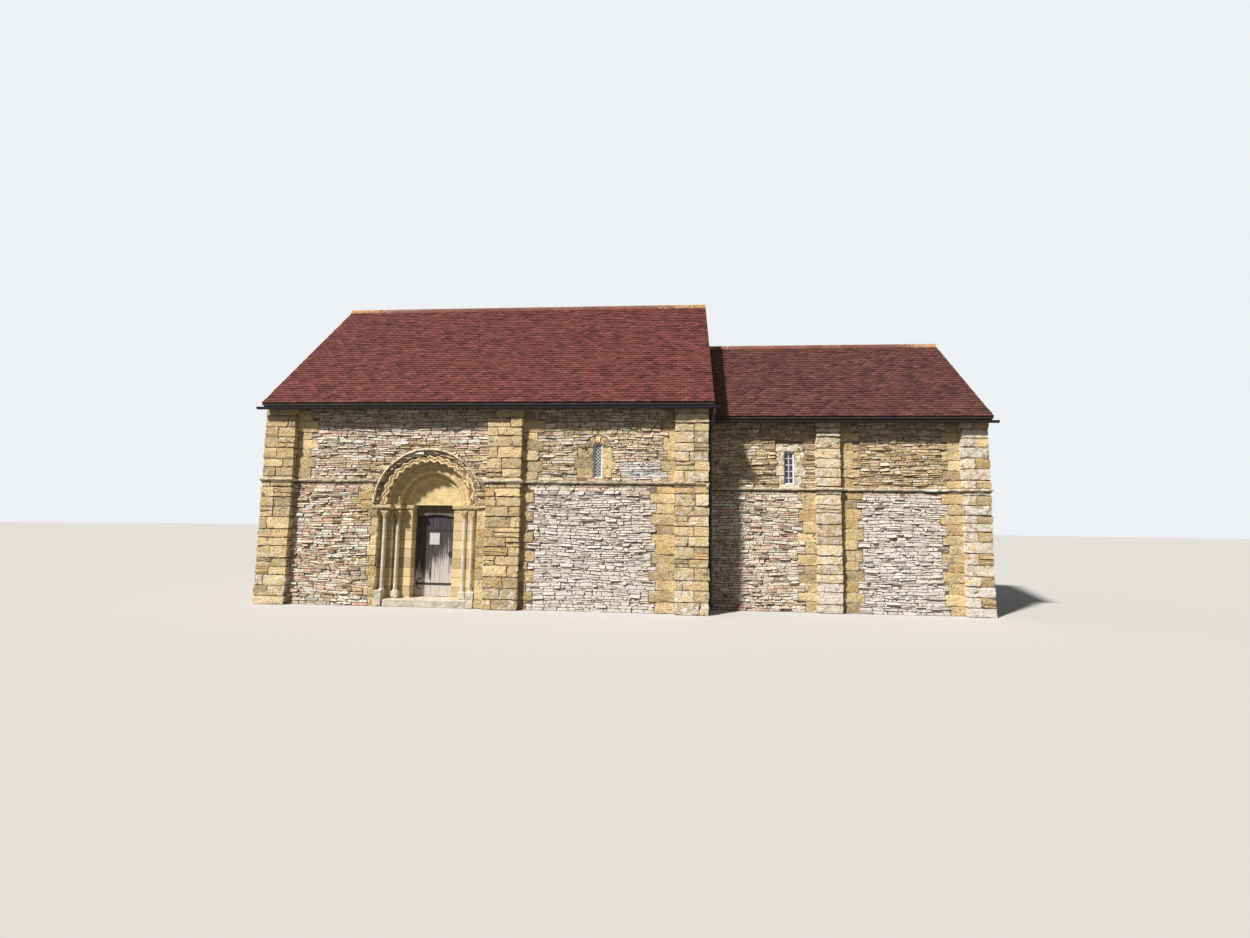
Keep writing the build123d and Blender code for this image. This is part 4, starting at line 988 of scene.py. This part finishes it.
class CHAPEL_OT_walls(bpy.types.Operator):
    """Lay coursed rubble on every wall, with squared blocks beside its corners and windows"""

    bl_idname = "chapel.walls"
    bl_label = "Rubble walls"

    jamb_head = SPRINGING - 0.12
    under_ridge = 0.05

    def execute(self, context):
        self.rough = stone_material("coursed_rubble", stone_settings(), False)
        self.smooth = stone_material("dressed_stone", stone_settings(), True)
        self.nave_side(NAVE_SOUTH, 21, 1)
        self.nave_side(NAVE_NORTH, 22, -1)
        self.chancel_side(CHANCEL_SOUTH, 23, 1)
        self.chancel_side(CHANCEL_NORTH, 24, -1)
        inner = -NAVE.pilasters[0][1].y
        self.gable("west_gable", NAVE_WEST, 25, NAVE, inner, block=0.3)
        inner, start = NAVE.pilasters[-1][0].y, CHANCEL.apex - 2.0
        self.gable("nave_east_gable", NAVE_EAST, 26, NAVE, inner, 0.22, start, [self.chancel_hole])
        inner = CHANCEL.pilasters[-1][0].y
        self.gable("chancel_east_gable", CHANCEL_EAST, 27, CHANCEL, inner, block=0.28)
        return {"FINISHED"}

    def lay(self, name, wall, seed, outline, holes, cell, top, blocks, cut):
        """Fill what the blocks leave with rubble, in beds that stop at the string course"""
        rubble = Masonry(seed)
        mean = stone_settings().course
        for window in windows():
            if window.wall is wall:
                holes = holes + window.dress(blocks)
        low, high = cell.string
        for bottom, head in ((0, low), (low, high), (high, top)):
            levels = rubble.beds(bottom, head, mean, spread=0.5)
            rubble.panel(wall, outline, holes, levels, cut)
        rubble.build(f"{name}_rubble", RUBBLE_GRID, self.rough, "rubble_stone")
        blocks.build(f"{name}_blocks", BLOCK_GRID, self.smooth, "ashlar_stone")

    def quoins(self, blocks, wall, strips, mean=None, **teeth):
        """Strips of blocks, each (straight edge, toothed edge, bottom, top); gives back their holes"""
        laid = []
        for fixed, free, bottom, top in strips:
            levels = blocks.beds(bottom, top, mean or stone_settings().block, spread=0.2)
            laid += blocks.strip(wall, fixed, free, levels, block_cut(), **teeth)
        return [blocks_hole([one]) for one in laid]

    def side(self, wall, seed, sign, cell, middle, ends, strips, cut, blocks, holes):
        """A side wall: the north one has the south one's blocks, mirrored"""
        mirrored = [(sign * fixed, sign * free, bottom, top) for fixed, free, bottom, top in strips]
        holes = [upright(sign * middle[0], sign * middle[1], 0, cell.head), *holes]
        holes += self.quoins(blocks, wall, mirrored)
        outline = straight_outline(*sorted(sign * end for end in ends))
        name = f"{cell.name}_{'south' if sign > 0 else 'north'}"
        self.lay(name, wall, seed, outline, holes, cell, cell.head, blocks, cut)

    def nave_side(self, wall, seed, sign):
        """Golden blocks round the doorway, pale rubble east of the pilaster, a white patch by the window"""
        low, high = NAVE.string
        west, east = NAVE.pilasters[0][1].x, NAVE.pilasters[-1][0].x
        middle = next((a.x, b.x) for a, b in NAVE.pilasters if a.x > west)
        first, second = middle
        settings = stone_settings()
        blocks = Masonry(seed + 100)
        chance = blocks.random.random
        strips = (
            (west, west + 0.42, high, NAVE.head), (second, second + 0.42, high, NAVE.head),
            (second, second + 0.25, 0, low),
            (east, east - 0.24, high, NAVE.head), (east, east - 0.48, 0, low),
        )

        def warm(u, z):
            round_arch = math.hypot(u - DOOR_X, z - SPRINGING) < RING_OUTER + 0.33 and z > SPRINGING - 0.3
            beside = -3.0 < u < -2.2 and 1.9 < z < 3.4 or RING_HIGH.x < u < first and z < 3.6
            if sign > 0 and (round_arch or beside):
                return 0.95 if chance() < 0.85 else 0.4
            if sign * u > second and z > high:
                return 0.9 if chance() < 0.5 else 0.15
            return 0.7 * (chance() < 0.12)

        def bleach(u, z):
            if sign > 0 and 3.2 < u < 4.3 - 0.3 * (z - 2.95) and 2.95 < z < 3.35:
                return 1.2
            if sign * u < second:
                return 0.22 if z < low else 0.34
            return 0.36 if z > high else 0.46 + 0.55 * min(max(1.5 - z / 2, 0), 1)

        def proud(u, z):
            worn_foot = 0.6 + 0.4 * min(z / 1.6, 1) if sign * u > second else 1
            return settings.proud * worn_foot * string_shadow(z, low)

        cut = rubble_cut(warm=warm, bleach=bleach, proud=proud)
        holes = self.door_surround(blocks, wall, first) if sign > 0 else []
        self.side(wall, seed, sign, NAVE, middle, (west, east), strips, cut, blocks, holes)

    def door_surround(self, blocks, wall, pilaster):
        """Blocks beside the doorway; gives back the holes that they and it fill"""
        west, east, mean = RING_LOW.x, RING_HIGH.x, 0.22
        jambs = (
            ((west, west - 0.2, 0, self.jamb_head), 0.06), ((east, pilaster, 0, self.jamb_head), 0),
            ((west - 0.145, west - 0.45, 2.2, NAVE.string[0]), 0.06),
        )
        holes = [disc(DOOR_X, SPRINGING, RING_OUTER + 0.01), upright(west, east, 0, SPRINGING)]
        for strip, tooth in jambs:
            holes += self.quoins(blocks, wall, [strip], mean, tooth=tooth)
        return holes

    def chancel_side(self, wall, seed, sign):
        """Golden above the string course, and bleached towards the ground"""
        low, high = CHANCEL.string
        first, second = (corner.x for corner in CHANCEL.pilasters[0])
        corner, head = CHANCEL.pilasters[-1][0].x, CHANCEL.head
        strips = (
            (first, first - 0.35, 0, low),
            (second, second + 0.45, 0, low), (second, second + 0.4, high, head),
            (corner, corner - 0.4, 0, low), (corner, corner - 0.35, high, head),
        )
        blocks = Masonry(seed + 100)

        def bleach(u, z):
            share = 0.9 if sign * u > second else 0.10
            return 0.2 if z > high else 0.30 + share * min(max(1.6 - z / 2, 0), 0.8)

        cut = rubble_cut(
            warm=lambda u, z: blocks.random.choice((0.2, 0.9, 0.9)) if z > high else 0.05, bleach=bleach,
            proud=lambda u, z: stone_settings().proud * string_shadow(z, low),
        )
        self.side(wall, seed, sign, CHANCEL, (first, second), (NAVE.east, corner), strips, cut, blocks, [])

    def gable(self, name, wall, seed, cell, inner, block, start=None, others=()):
        """A gable between its corner pilasters, with blocks of one length beside them"""
        low, high = cell.string
        rake = cell.under(inner)
        spans = ((0, low), (high, rake)) if start is None else ((start, rake),)
        strips = [(side * inner, side * (inner - block), *span) for side in (-1, 1) for span in spans]
        blocks = Masonry(seed + 100)
        holes = self.quoins(blocks, wall, strips)
        holes += [upright(side * inner, side * cell.face * 1.1, 0, rake) for side in (-1, 1)]
        top = cell.apex - self.under_ridge
        self.lay(name, wall, seed, cell.outline, [*holes, *others], cell, top, blocks, rubble_cut())

    def chancel_hole(self, low, high):
        """The chancel, where it hides the nave's east gable"""
        eave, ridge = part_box("chancel_roof_south")
        if low > ridge.z:
            return None

        def half(z):
            slope = (ridge.z + 0.02 - z) / CHANCEL.fall
            return CHANCEL.face if z < eave.z else min(max(slope, 0), -eave.y)
        return -half(low), -half(high), half(low), half(high)


class CHAPEL_OT_roofs(bpy.types.Operator):
    """Lay plain tiles on the four slopes, half-bonded"""

    bl_idname = "chapel.roofs"
    bl_label = "Tiled roofs"

    gap = 0.0025
    narrowest = 0.03
    tail = 0.008
    lap = 0.035
    raised = 0.014
    head_raised = 0.011
    camber = 0.003

    def execute(self, context):
        settings = context.scene.chapel_roof
        nave = tile_material("nave_tiles", settings.nave, 0.5)
        chancel = tile_material("chancel_tiles", settings.chancel, 0.7)
        self.slope("nave_roof_south", nave, 31, settings)
        self.slope("nave_roof_north", nave, 32, settings)
        self.slope("chancel_roof_south", chancel, 33, settings)
        self.slope("chancel_roof_north", chancel, 34, settings)
        self.brackets()
        return {"FINISHED"}

    def brackets(self):
        """Iron straps that carry the gutters"""
        turns = np.linspace(math.pi, 2 * math.pi, 13)[:, None]
        width, thick, thin_edge = 0.03, 0.003, 0.004
        first, last, every = 0.45, 0.3, 0.9
        grids = []
        for low, high in solids("gutters"):
            reach = (high.y - low.y) / 2 + thick - np.array((thin_edge, 0, 0, thin_edge))
            middle = (low.y + high.y) / 2 + (thick if low.y < 0 else -thick)
            for x in np.arange(low.x + first, high.x - last, every):
                across = np.array((x, x, x + width, x + width)) + 0 * turns
                round_it = middle + reach * np.cos(turns), high.z + reach * np.sin(turns)
                grids.append(np.stack([across, *round_it], -1))
        grid_mesh("gutter_brackets", np.array(grids), bpy.data.materials["gutter_black"])

    def slope(self, node, material, seed, settings):
        """One slope's tiles: their tails are lifted, and their sides turn down to the roof"""
        random = np.random.default_rng(seed)
        normal = random.normal
        low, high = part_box(node)
        side = -1 if low.y < -0.1 else 1
        reach = max(abs(low.y), abs(high.y))
        found = corners(node)
        eave = found[abs(abs(found[:, 1]) - reach) < 0.001, 2].max()
        rise = high.z - eave
        length = math.hypot(reach, rise)
        up = np.array((0, -side * reach / length, rise / length))
        out = np.array((0, side * rise / length, reach / length))
        foot = np.array((0, side * reach, eave))
        courses = int(length / settings.gauge)
        gauge, width = length / courses, settings.tile_width
        places = []
        for course in range(courses):
            start = low.x - (width / 2 if course % 2 else 0)
            for index in range(math.ceil((high.x - start) / width)):
                left = max(start + index * width, low.x)
                right = min(start + (index + 1) * width, high.x)
                if right - left > self.narrowest:
                    places.append((left, right, course * gauge))
        left, right, level = np.array(places).T[:, :, None, None]
        count = len(places)
        left_side, right_side, thick = left + self.gap, right - self.gap, settings.thickness
        across = np.concatenate((left_side, left_side, (left + right) / 2, right_side, right_side), 1)
        tail = level + normal(0, 0.0025, (count, 1, 1)) - self.tail
        along = tail + np.array((0, 0, gauge + self.lap))
        slip = normal(0, 0.0015, (count, 1, 1))
        lift = np.array((self.raised, self.raised + thick, self.head_raised)) + slip
        lift = lift + np.array((-thick, 0, self.camber, 0, -thick))[:, None]
        lift = lift + normal(0, 0.0022, (count, 1, 1)) * np.array((-1, -1, 0, 1, 1))[:, None]
        lift = lift + normal(0, 0.0008, (count, 5, 3))
        points = foot + along[..., None] * up + lift[..., None] * out
        points[..., 0] = across
        # The face mark is 0 on each tile's turned-down sides and tail edge, where the tile material paints
        # shade
        face = np.ones(lift.shape)
        face[:, (0, -1), :] = 0
        face[:, :, 0] = 0
        tone = np.broadcast_to(random.random(count)[:, None, None], lift.shape)
        name = node.replace("roof", "tiles")
        piece = grid_mesh(name, points[:, ::-side], material, smooth=25)
        mark(piece, "tone", tone)
        mark(piece, "face", face)


class CHAPEL_OT_doorway(bpy.types.Operator):
    """Carve the arch's chevrons, and wear down the dressed stone"""

    bl_idname = "chapel.doorway"
    bl_label = "Carved arch"

    chevrons = 16
    steps = 26
    face_rows = 34
    soffit_rows = 5
    ridge_radius = 1.055
    swing = 0.03
    half_width, bevel, rib = 0.082, 0.014, 0.038
    ground, body_height, rib_height = -0.095, 0.060, 0.042
    worn_to, worn_over = 1.15, 0.45
    proudest = 0.024
    lumps_in_all = 14
    # CAD piece, size of its voxels, depth worn off, finish and slot
    finishes = (
        ("nave_string_course", 0.018, 0.020, "string_stone", "pale_stone"),
        ("chancel_string_course", 0.018, 0.020, "string_stone", "pale_stone"),
        ("hood_mould", 0.012, 0.026, "hood_stone", "carved_stone"),
        ("imposts", 0.013, 0.018, "capital_stone", "carved_stone"),
        ("nook_capitals", 0.008, 0.016, "capital_stone", "carved_stone"),
        ("roll_order", 0.012, 0.010, "arch_stone", "carved_stone"),
        ("inner_order", 0.012, 0.008, "inner_arch_stone", "carved_stone"),
        ("shaft_bases", 0.012, 0.014, "nook_stone", "shaft_stone"),
        ("threshold_step", 0.020, 0.014, "step_stone", "pale_stone"),
    )

    def execute(self, context):
        random = np.random.default_rng(41)
        angle = np.linspace(0, math.pi, self.chevrons * self.steps + 1)[:, None]
        face = np.linspace(RING_OUTER, RING_INNER, self.face_rows)
        radius = np.concatenate(([RING_OUTER], face, np.full(self.soffit_rows, RING_INNER)))
        on_face = np.concatenate(([0.0], np.ones(self.face_rows), np.zeros(self.soffit_rows)))
        soffit = np.linspace(-0.02, -0.17, self.soffit_rows + 1)[1:]
        sides = np.concatenate(([-0.05], np.zeros(self.face_rows), soffit))
        zigzag = 2 * np.abs(2 * ((angle / math.pi * self.chevrons) % 1) - 1) - 1
        away = np.abs(radius - (self.ridge_radius + self.swing * zigzag))
        body = np.clip((self.half_width - away) / self.bevel, 0, 1)
        ribs = np.sqrt(np.clip(1 - ((away - self.half_width / 2) / self.rib) ** 2, 0, 1))
        carved = self.ground + self.body_height * body + self.rib_height * ribs * body
        lumps = self.lumps(random, angle, radius)
        fine = self.lumps(random, angle * 3, radius * 3)
        wear = np.clip((self.worn_to - angle) / self.worn_over, 0, 1)
        ruin = -0.030 + 0.034 * lumps + 0.014 * fine - 0.08 * np.clip(lumps - 0.9, 0, 1)
        depth = carved * (1 - wear) + ruin * wear + 0.004 * fine
        depth = np.minimum(depth, self.proudest) * on_face + sides
        x, z = DOOR_X + radius * np.cos(angle), SPRINGING + radius * np.sin(angle)
        points = np.stack([x, -NAVE.face - depth, z], -1)[None]
        material = carved_material("worn_carving", stone_settings().ochre, 18, 0.42)
        piece = grid_mesh("carved_chevrons", points, material, smooth=50)
        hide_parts("chevron_order")
        for seed, (node, voxel, loss, finish, slot) in enumerate(self.finishes):
            worn(node, voxel, loss, bpy.data.materials[finish], slot, seed)
        return {"FINISHED"}

    def lumps(self, random, angle, radius):
        """Smooth lumps over the ring, between about -1 and 1"""
        total = 0
        for _ in range(self.lumps_in_all):
            around, across = random.uniform(3, 24), random.uniform(8, 60)
            shift = random.uniform(0, 2 * math.pi, 2)
            total = total + np.sin(angle * around + shift[0]) * np.sin(radius * across + shift[1])
        return total / 2.6


class CHAPEL_OT_door(bpy.types.Operator):
    """Nail the planks to their ledges and pin up a bare sheet of paper"""

    bl_idname = "chapel.door"
    bl_label = "Door fittings"

    nails_across, from_edge = 10, 0.05
    nail, nail_height = 0.008, 0.006
    notice_x = -1.392, -1.15
    notice_z = 1.39, 1.668
    curl_from, curl_over, curl = 1.60, 0.07, 0.006
    off_the_wood = 0.0025

    def execute(self, context):
        face = LEAF_LOW.y
        turn, rise = np.linspace(0, 2 * math.pi, 9)[:, None], np.linspace(0, math.pi / 2, 4)
        ring, height = self.nail * np.cos(rise), self.nail_height * np.sin(rise)
        across = np.linspace(LEAF_LOW.x + self.from_edge, LEAF_HIGH.x - self.from_edge, self.nails_across)
        grids = []
        for low, high in solids("door_ledges"):
            for index, x in enumerate(across):
                z = low.z + (0.3 if index % 2 else 0.7) * (high.z - low.z)
                places = x + ring * np.cos(turn), face - height + 0 * turn, z + ring * np.sin(turn)
                grids.append(np.stack(places, -1))
        grid_mesh("door_nails", np.array(grids), bpy.data.materials["forged_iron"], DOOR)
        x, z = np.linspace(*self.notice_x, 9)[:, None], np.linspace(*self.notice_z, 9)
        curl = self.curl * np.clip((z - self.curl_from) / self.curl_over, 0, 1)
        proud = self.off_the_wood + curl * np.linspace(1, 0, 9)[:, None] ** 2
        sheet = np.stack([x + 0 * z, face - proud, z + 0 * x], -1)[None]
        paper = plain_material("paper", (0.60, 0.62, 0.64), 0.7, 30, 0.0005)
        grid_mesh("bare_notice", sheet, paper, DOOR)
        return {"FINISHED"}


class CHAPEL_OT_windows(bpy.types.Operator):
    """Set cames on the glass and a fillet of mortar round it"""

    bl_idname = "chapel.windows"
    bl_label = "Leaded windows"

    glass = -0.06
    panes_high, panes_wide = 10, 2.5
    bars_high = 5
    fillet, fillet_outer, fillet_inner = 0.03, 0.016, 0.010

    def execute(self, context):
        lead = plain_material("lead", (0.82, 0.83, 0.85), 0.5, 40, 0.001)
        fillet = plain_material("window_mortar", (0.95, 0.94, 0.91), 0.9, 30, 0.004)
        bars = [self.bar(window, *ends) for window in windows() for ends in self.cames(window)]
        grid_mesh("window_cames", np.array(bars), lead)
        for name, arched in (("window_fillets", True), ("chancel_window_fillets", False)):
            rims = [self.rim(window) for window in windows() if window.arched == arched]
            grid_mesh(name, np.array(rims), fillet)
        return {"FINISHED"}

    def cames(self, window):
        """Ends of each came, from the light's middle and the ground"""
        half, foot, head = window.width / 2, window.sill, window.sill + window.height
        if window.arched:
            pitch = window.height / self.panes_high
            lean = pitch / (window.width / self.panes_wide)
            heights = [(foot + k * pitch, sign * half * lean) for k in range(-8, 24) for sign in (-1, 1)]
        else:
            heights = [(foot + k * window.height / self.bars_high, 0) for k in range(1, self.bars_high)]
        lines = [((-half, level - rise), (half, level + rise)) for level, rise in heights]
        if not window.arched:
            lines.append(((0, foot), (0, head)))
        for start, end in np.array(lines):
            places = [start + t * (end - start) for t in np.linspace(0, 1, 81)]
            inside = [place for place in places if foot <= place[1] <= window.top_at(place[0])]
            if len(inside) > 4:
                yield inside[0], inside[-1]

    def bar(self, window, start, end):
        """A thin bar of three faces between two points"""
        half = 0.006 if window.arched else 0.010
        way = (end - start) / np.linalg.norm(end - start)
        side = np.array((-way[1], way[0])) * half
        profile = np.array(((-1, 0.0), (-0.7, 0.8 * half), (0.7, 0.8 * half), (1, 0.0)))
        places = np.array((start, end))[:, None] + profile[:, :1] * side
        depth = self.glass + profile[:, 1] + 0 * places[..., 0]
        return window.wall.points(places[..., 0] + window.middle, places[..., 1], depth)

    def rim(self, window):
        """A mortar fillet, from the reveal in to the glass"""
        outer, inner = window.outline(), window.outline(self.fillet)
        rows = []
        for ring, depth in ((outer, 0), (outer, self.fillet_outer), (inner, self.fillet_inner), (inner, 0)):
            across, height = ring.T
            rows.append(window.wall.points(across + window.middle, height, self.glass + depth + 0 * height))
        return np.stack(rows, 1)


class CHAPEL_OT_finishes(bpy.types.Operator):
    """Give every CAD piece its finish"""

    bl_idname = "chapel.finishes"
    bl_label = "Finishes"

    def execute(self, context):
        stone, joinery = stone_settings(), context.scene.chapel_joinery
        ochre = stone.ochre
        finishes = (
            (mortar_material(stone), "wall gable pilasters"),
            (coursed_material("jamb_stone", ochre), "jamb"),
            (carved_material("arch_stone", ochre, 22, 0.1), "roll_order chevron_order"),
            (carved_material("inner_arch_stone", shade(ochre, 1.1), 15, 0.0), "inner_order"),
            (carved_material("string_stone", (0.72, 0.60, 0.41), 0, 0.55), "string_course"),
            (carved_material("hood_stone", (0.74, 0.61, 0.42), 14, 0.55), "hood_mould"),
            (carved_material("nook_stone", (0.73, 0.67, 0.53), 0, 0.25), "nook_shafts shaft_bases"),
            (carved_material("capital_stone", (0.68, 0.53, 0.31), 0, 0.2), "nook_capitals imposts"),
            (carved_material("plain_tympanum", (0.90, 0.70, 0.36), 0, -0.3), "tympanum"),
            (carved_material("step_stone", (0.70, 0.62, 0.51), 0, 0.25), "threshold_step"),
            (plain_material("flagstones", (0.40, 0.37, 0.32), 0.85, 5, 0.004), "floor"),
            (oak_material("weathered_oak", joinery.oak, joinery, 1.0), "door_leaf door_ledges"),
            (oak_material("worn_frame_oak", (0.16, 0.13, 0.10), joinery, 0.5), "door_frame"),
            (oak_material("dark_timber", (0.024, 0.019, 0.016), joinery, 0.0), "eaves_boards roof"),
            (iron_material("forged_iron", (0.035, 0.033, 0.032), 0.5, 0.55), "straps latch pintles"),
            (iron_material("gutter_black", (0.012, 0.012, 0.013), 0.1, 0.6), "gutters downpipes"),
            (glass_material(), "window_glazing"),
        )
        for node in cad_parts:
            for material, parts in finishes:
                if any(part in node for part in parts.split()):
                    dress(node, material)
        for node in ("nave_ridge_tiles", "chancel_ridge_tiles"):
            low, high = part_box(node)
            dress(node, ridge_material(node, low.x, high.x))
        return {"FINISHED"}


class CHAPEL_OT_stage(bpy.types.Operator):
    """Set up the pale floor, the light and the camera"""

    bl_idname = "chapel.stage"
    bl_label = "Studio"

    floor_size, floor_middle = 400, (3, 0, 0)
    azimuth, elevation = math.radians(42), math.radians(44)
    film, frame_pixels, focal_pixels = 36, 1250, 576.99
    pitch, yaw, roll = 0.09584, -0.08152, 0.01423
    eye = 4.374, -16.078, 1.931

    def execute(self, context):
        scene = context.scene
        light = scene.chapel_light
        bpy.ops.mesh.primitive_plane_add(size=self.floor_size, location=self.floor_middle)
        floor = context.object
        floor.name = "studio_floor"
        lit, shown = {"Color": (0.15, 0.147, 0.14)}, {"Color": (0.60, 0.59, 0.58)}
        floor.data.materials.append(Shader("studio_floor").staged("ShaderNodeBsdfDiffuse", lit, shown))
        scene.world = bpy.data.worlds.new("studio")
        lit, shown = {"Color": (0.93, 0.95, 1.0), "Strength": light.fill}, {"Color": (0.86, 0.88, 0.90)}
        Shader(scene.world).staged("ShaderNodeBackground", lit, shown, "ShaderNodeOutputWorld")
        self.sun(scene, light)
        self.camera(scene)
        scene.view_settings.view_transform = "Standard"
        return {"FINISHED"}

    def sun(self, scene, light):
        """The key light, from the south-west"""
        sun = bpy.data.lights.new("key", "SUN")
        sun.energy = light.key
        sun.angle = light.key_spread
        sun.color = (1.0, 0.965, 0.91)
        key = bpy.data.objects.new("key", sun)
        level = math.cos(self.elevation)
        west, south = math.sin(self.azimuth) * level, math.cos(self.azimuth) * level
        toward = Vector((-west, -south, math.sin(self.elevation)))
        key.rotation_euler = toward.to_track_quat("Z", "Y").to_euler()
        scene.collection.objects.link(key)

    def camera(self, scene):
        """The photograph's place and angle"""
        lens = bpy.data.cameras.new("camera")
        lens.sensor_width = self.film
        lens.lens = self.film * self.focal_pixels / self.frame_pixels
        camera = bpy.data.objects.new("camera", lens)
        place = Matrix.Translation(self.eye)
        for angle, axis in (-self.yaw, "Z"), (math.pi / 2 + self.pitch, "X"), (self.roll, "Z"):
            place = place @ Matrix.Rotation(angle, 4, axis)
        camera.matrix_world = place
        scene.collection.objects.link(camera)
        scene.camera = camera


OPERATORS = (
    CHAPEL_OT_finishes, CHAPEL_OT_pilasters, CHAPEL_OT_walls, CHAPEL_OT_doorway, CHAPEL_OT_door,
    CHAPEL_OT_windows, CHAPEL_OT_roofs, CHAPEL_OT_stage,
)
SETTINGS = {
    "chapel_stone": StoneSettings, "chapel_roof": RoofSettings, "chapel_joinery": DoorSettings,
    "chapel_light": LightSettings,
}


class CHAPEL_PT_build(bpy.types.Panel):
    """The chapel's pieces, in the order they are made"""

    bl_label = "Chapel"
    bl_space_type = "VIEW_3D"
    bl_region_type = "UI"
    bl_category = "Chapel"

    def draw(self, context):
        for operator in OPERATORS:
            self.layout.operator(operator.bl_idname)
        for name in SETTINGS:
            group = getattr(context.scene, name)
            for key in group.bl_rna.properties.keys():
                if key not in ("rna_type", "name"):
                    self.layout.prop(group, key)


CLASSES = (*SETTINGS.values(), *OPERATORS, CHAPEL_PT_build)


def register():
    for one in CLASSES:
        bpy.utils.register_class(one)
    for name, group in SETTINGS.items():
        setattr(bpy.types.Scene, name, PointerProperty(type=group))


def unregister():
    for name in SETTINGS:
        delattr(bpy.types.Scene, name)
    for one in reversed(CLASSES):
        bpy.utils.unregister_class(one)


def main():
    register()
    for operator in OPERATORS:
        area, name = operator.bl_idname.split(".")
        result = getattr(getattr(bpy.ops, area), name)()
        if result != {"FINISHED"}:
            raise RuntimeError(f"{operator.bl_label} did not finish")


if __name__ == "__main__":
    main()
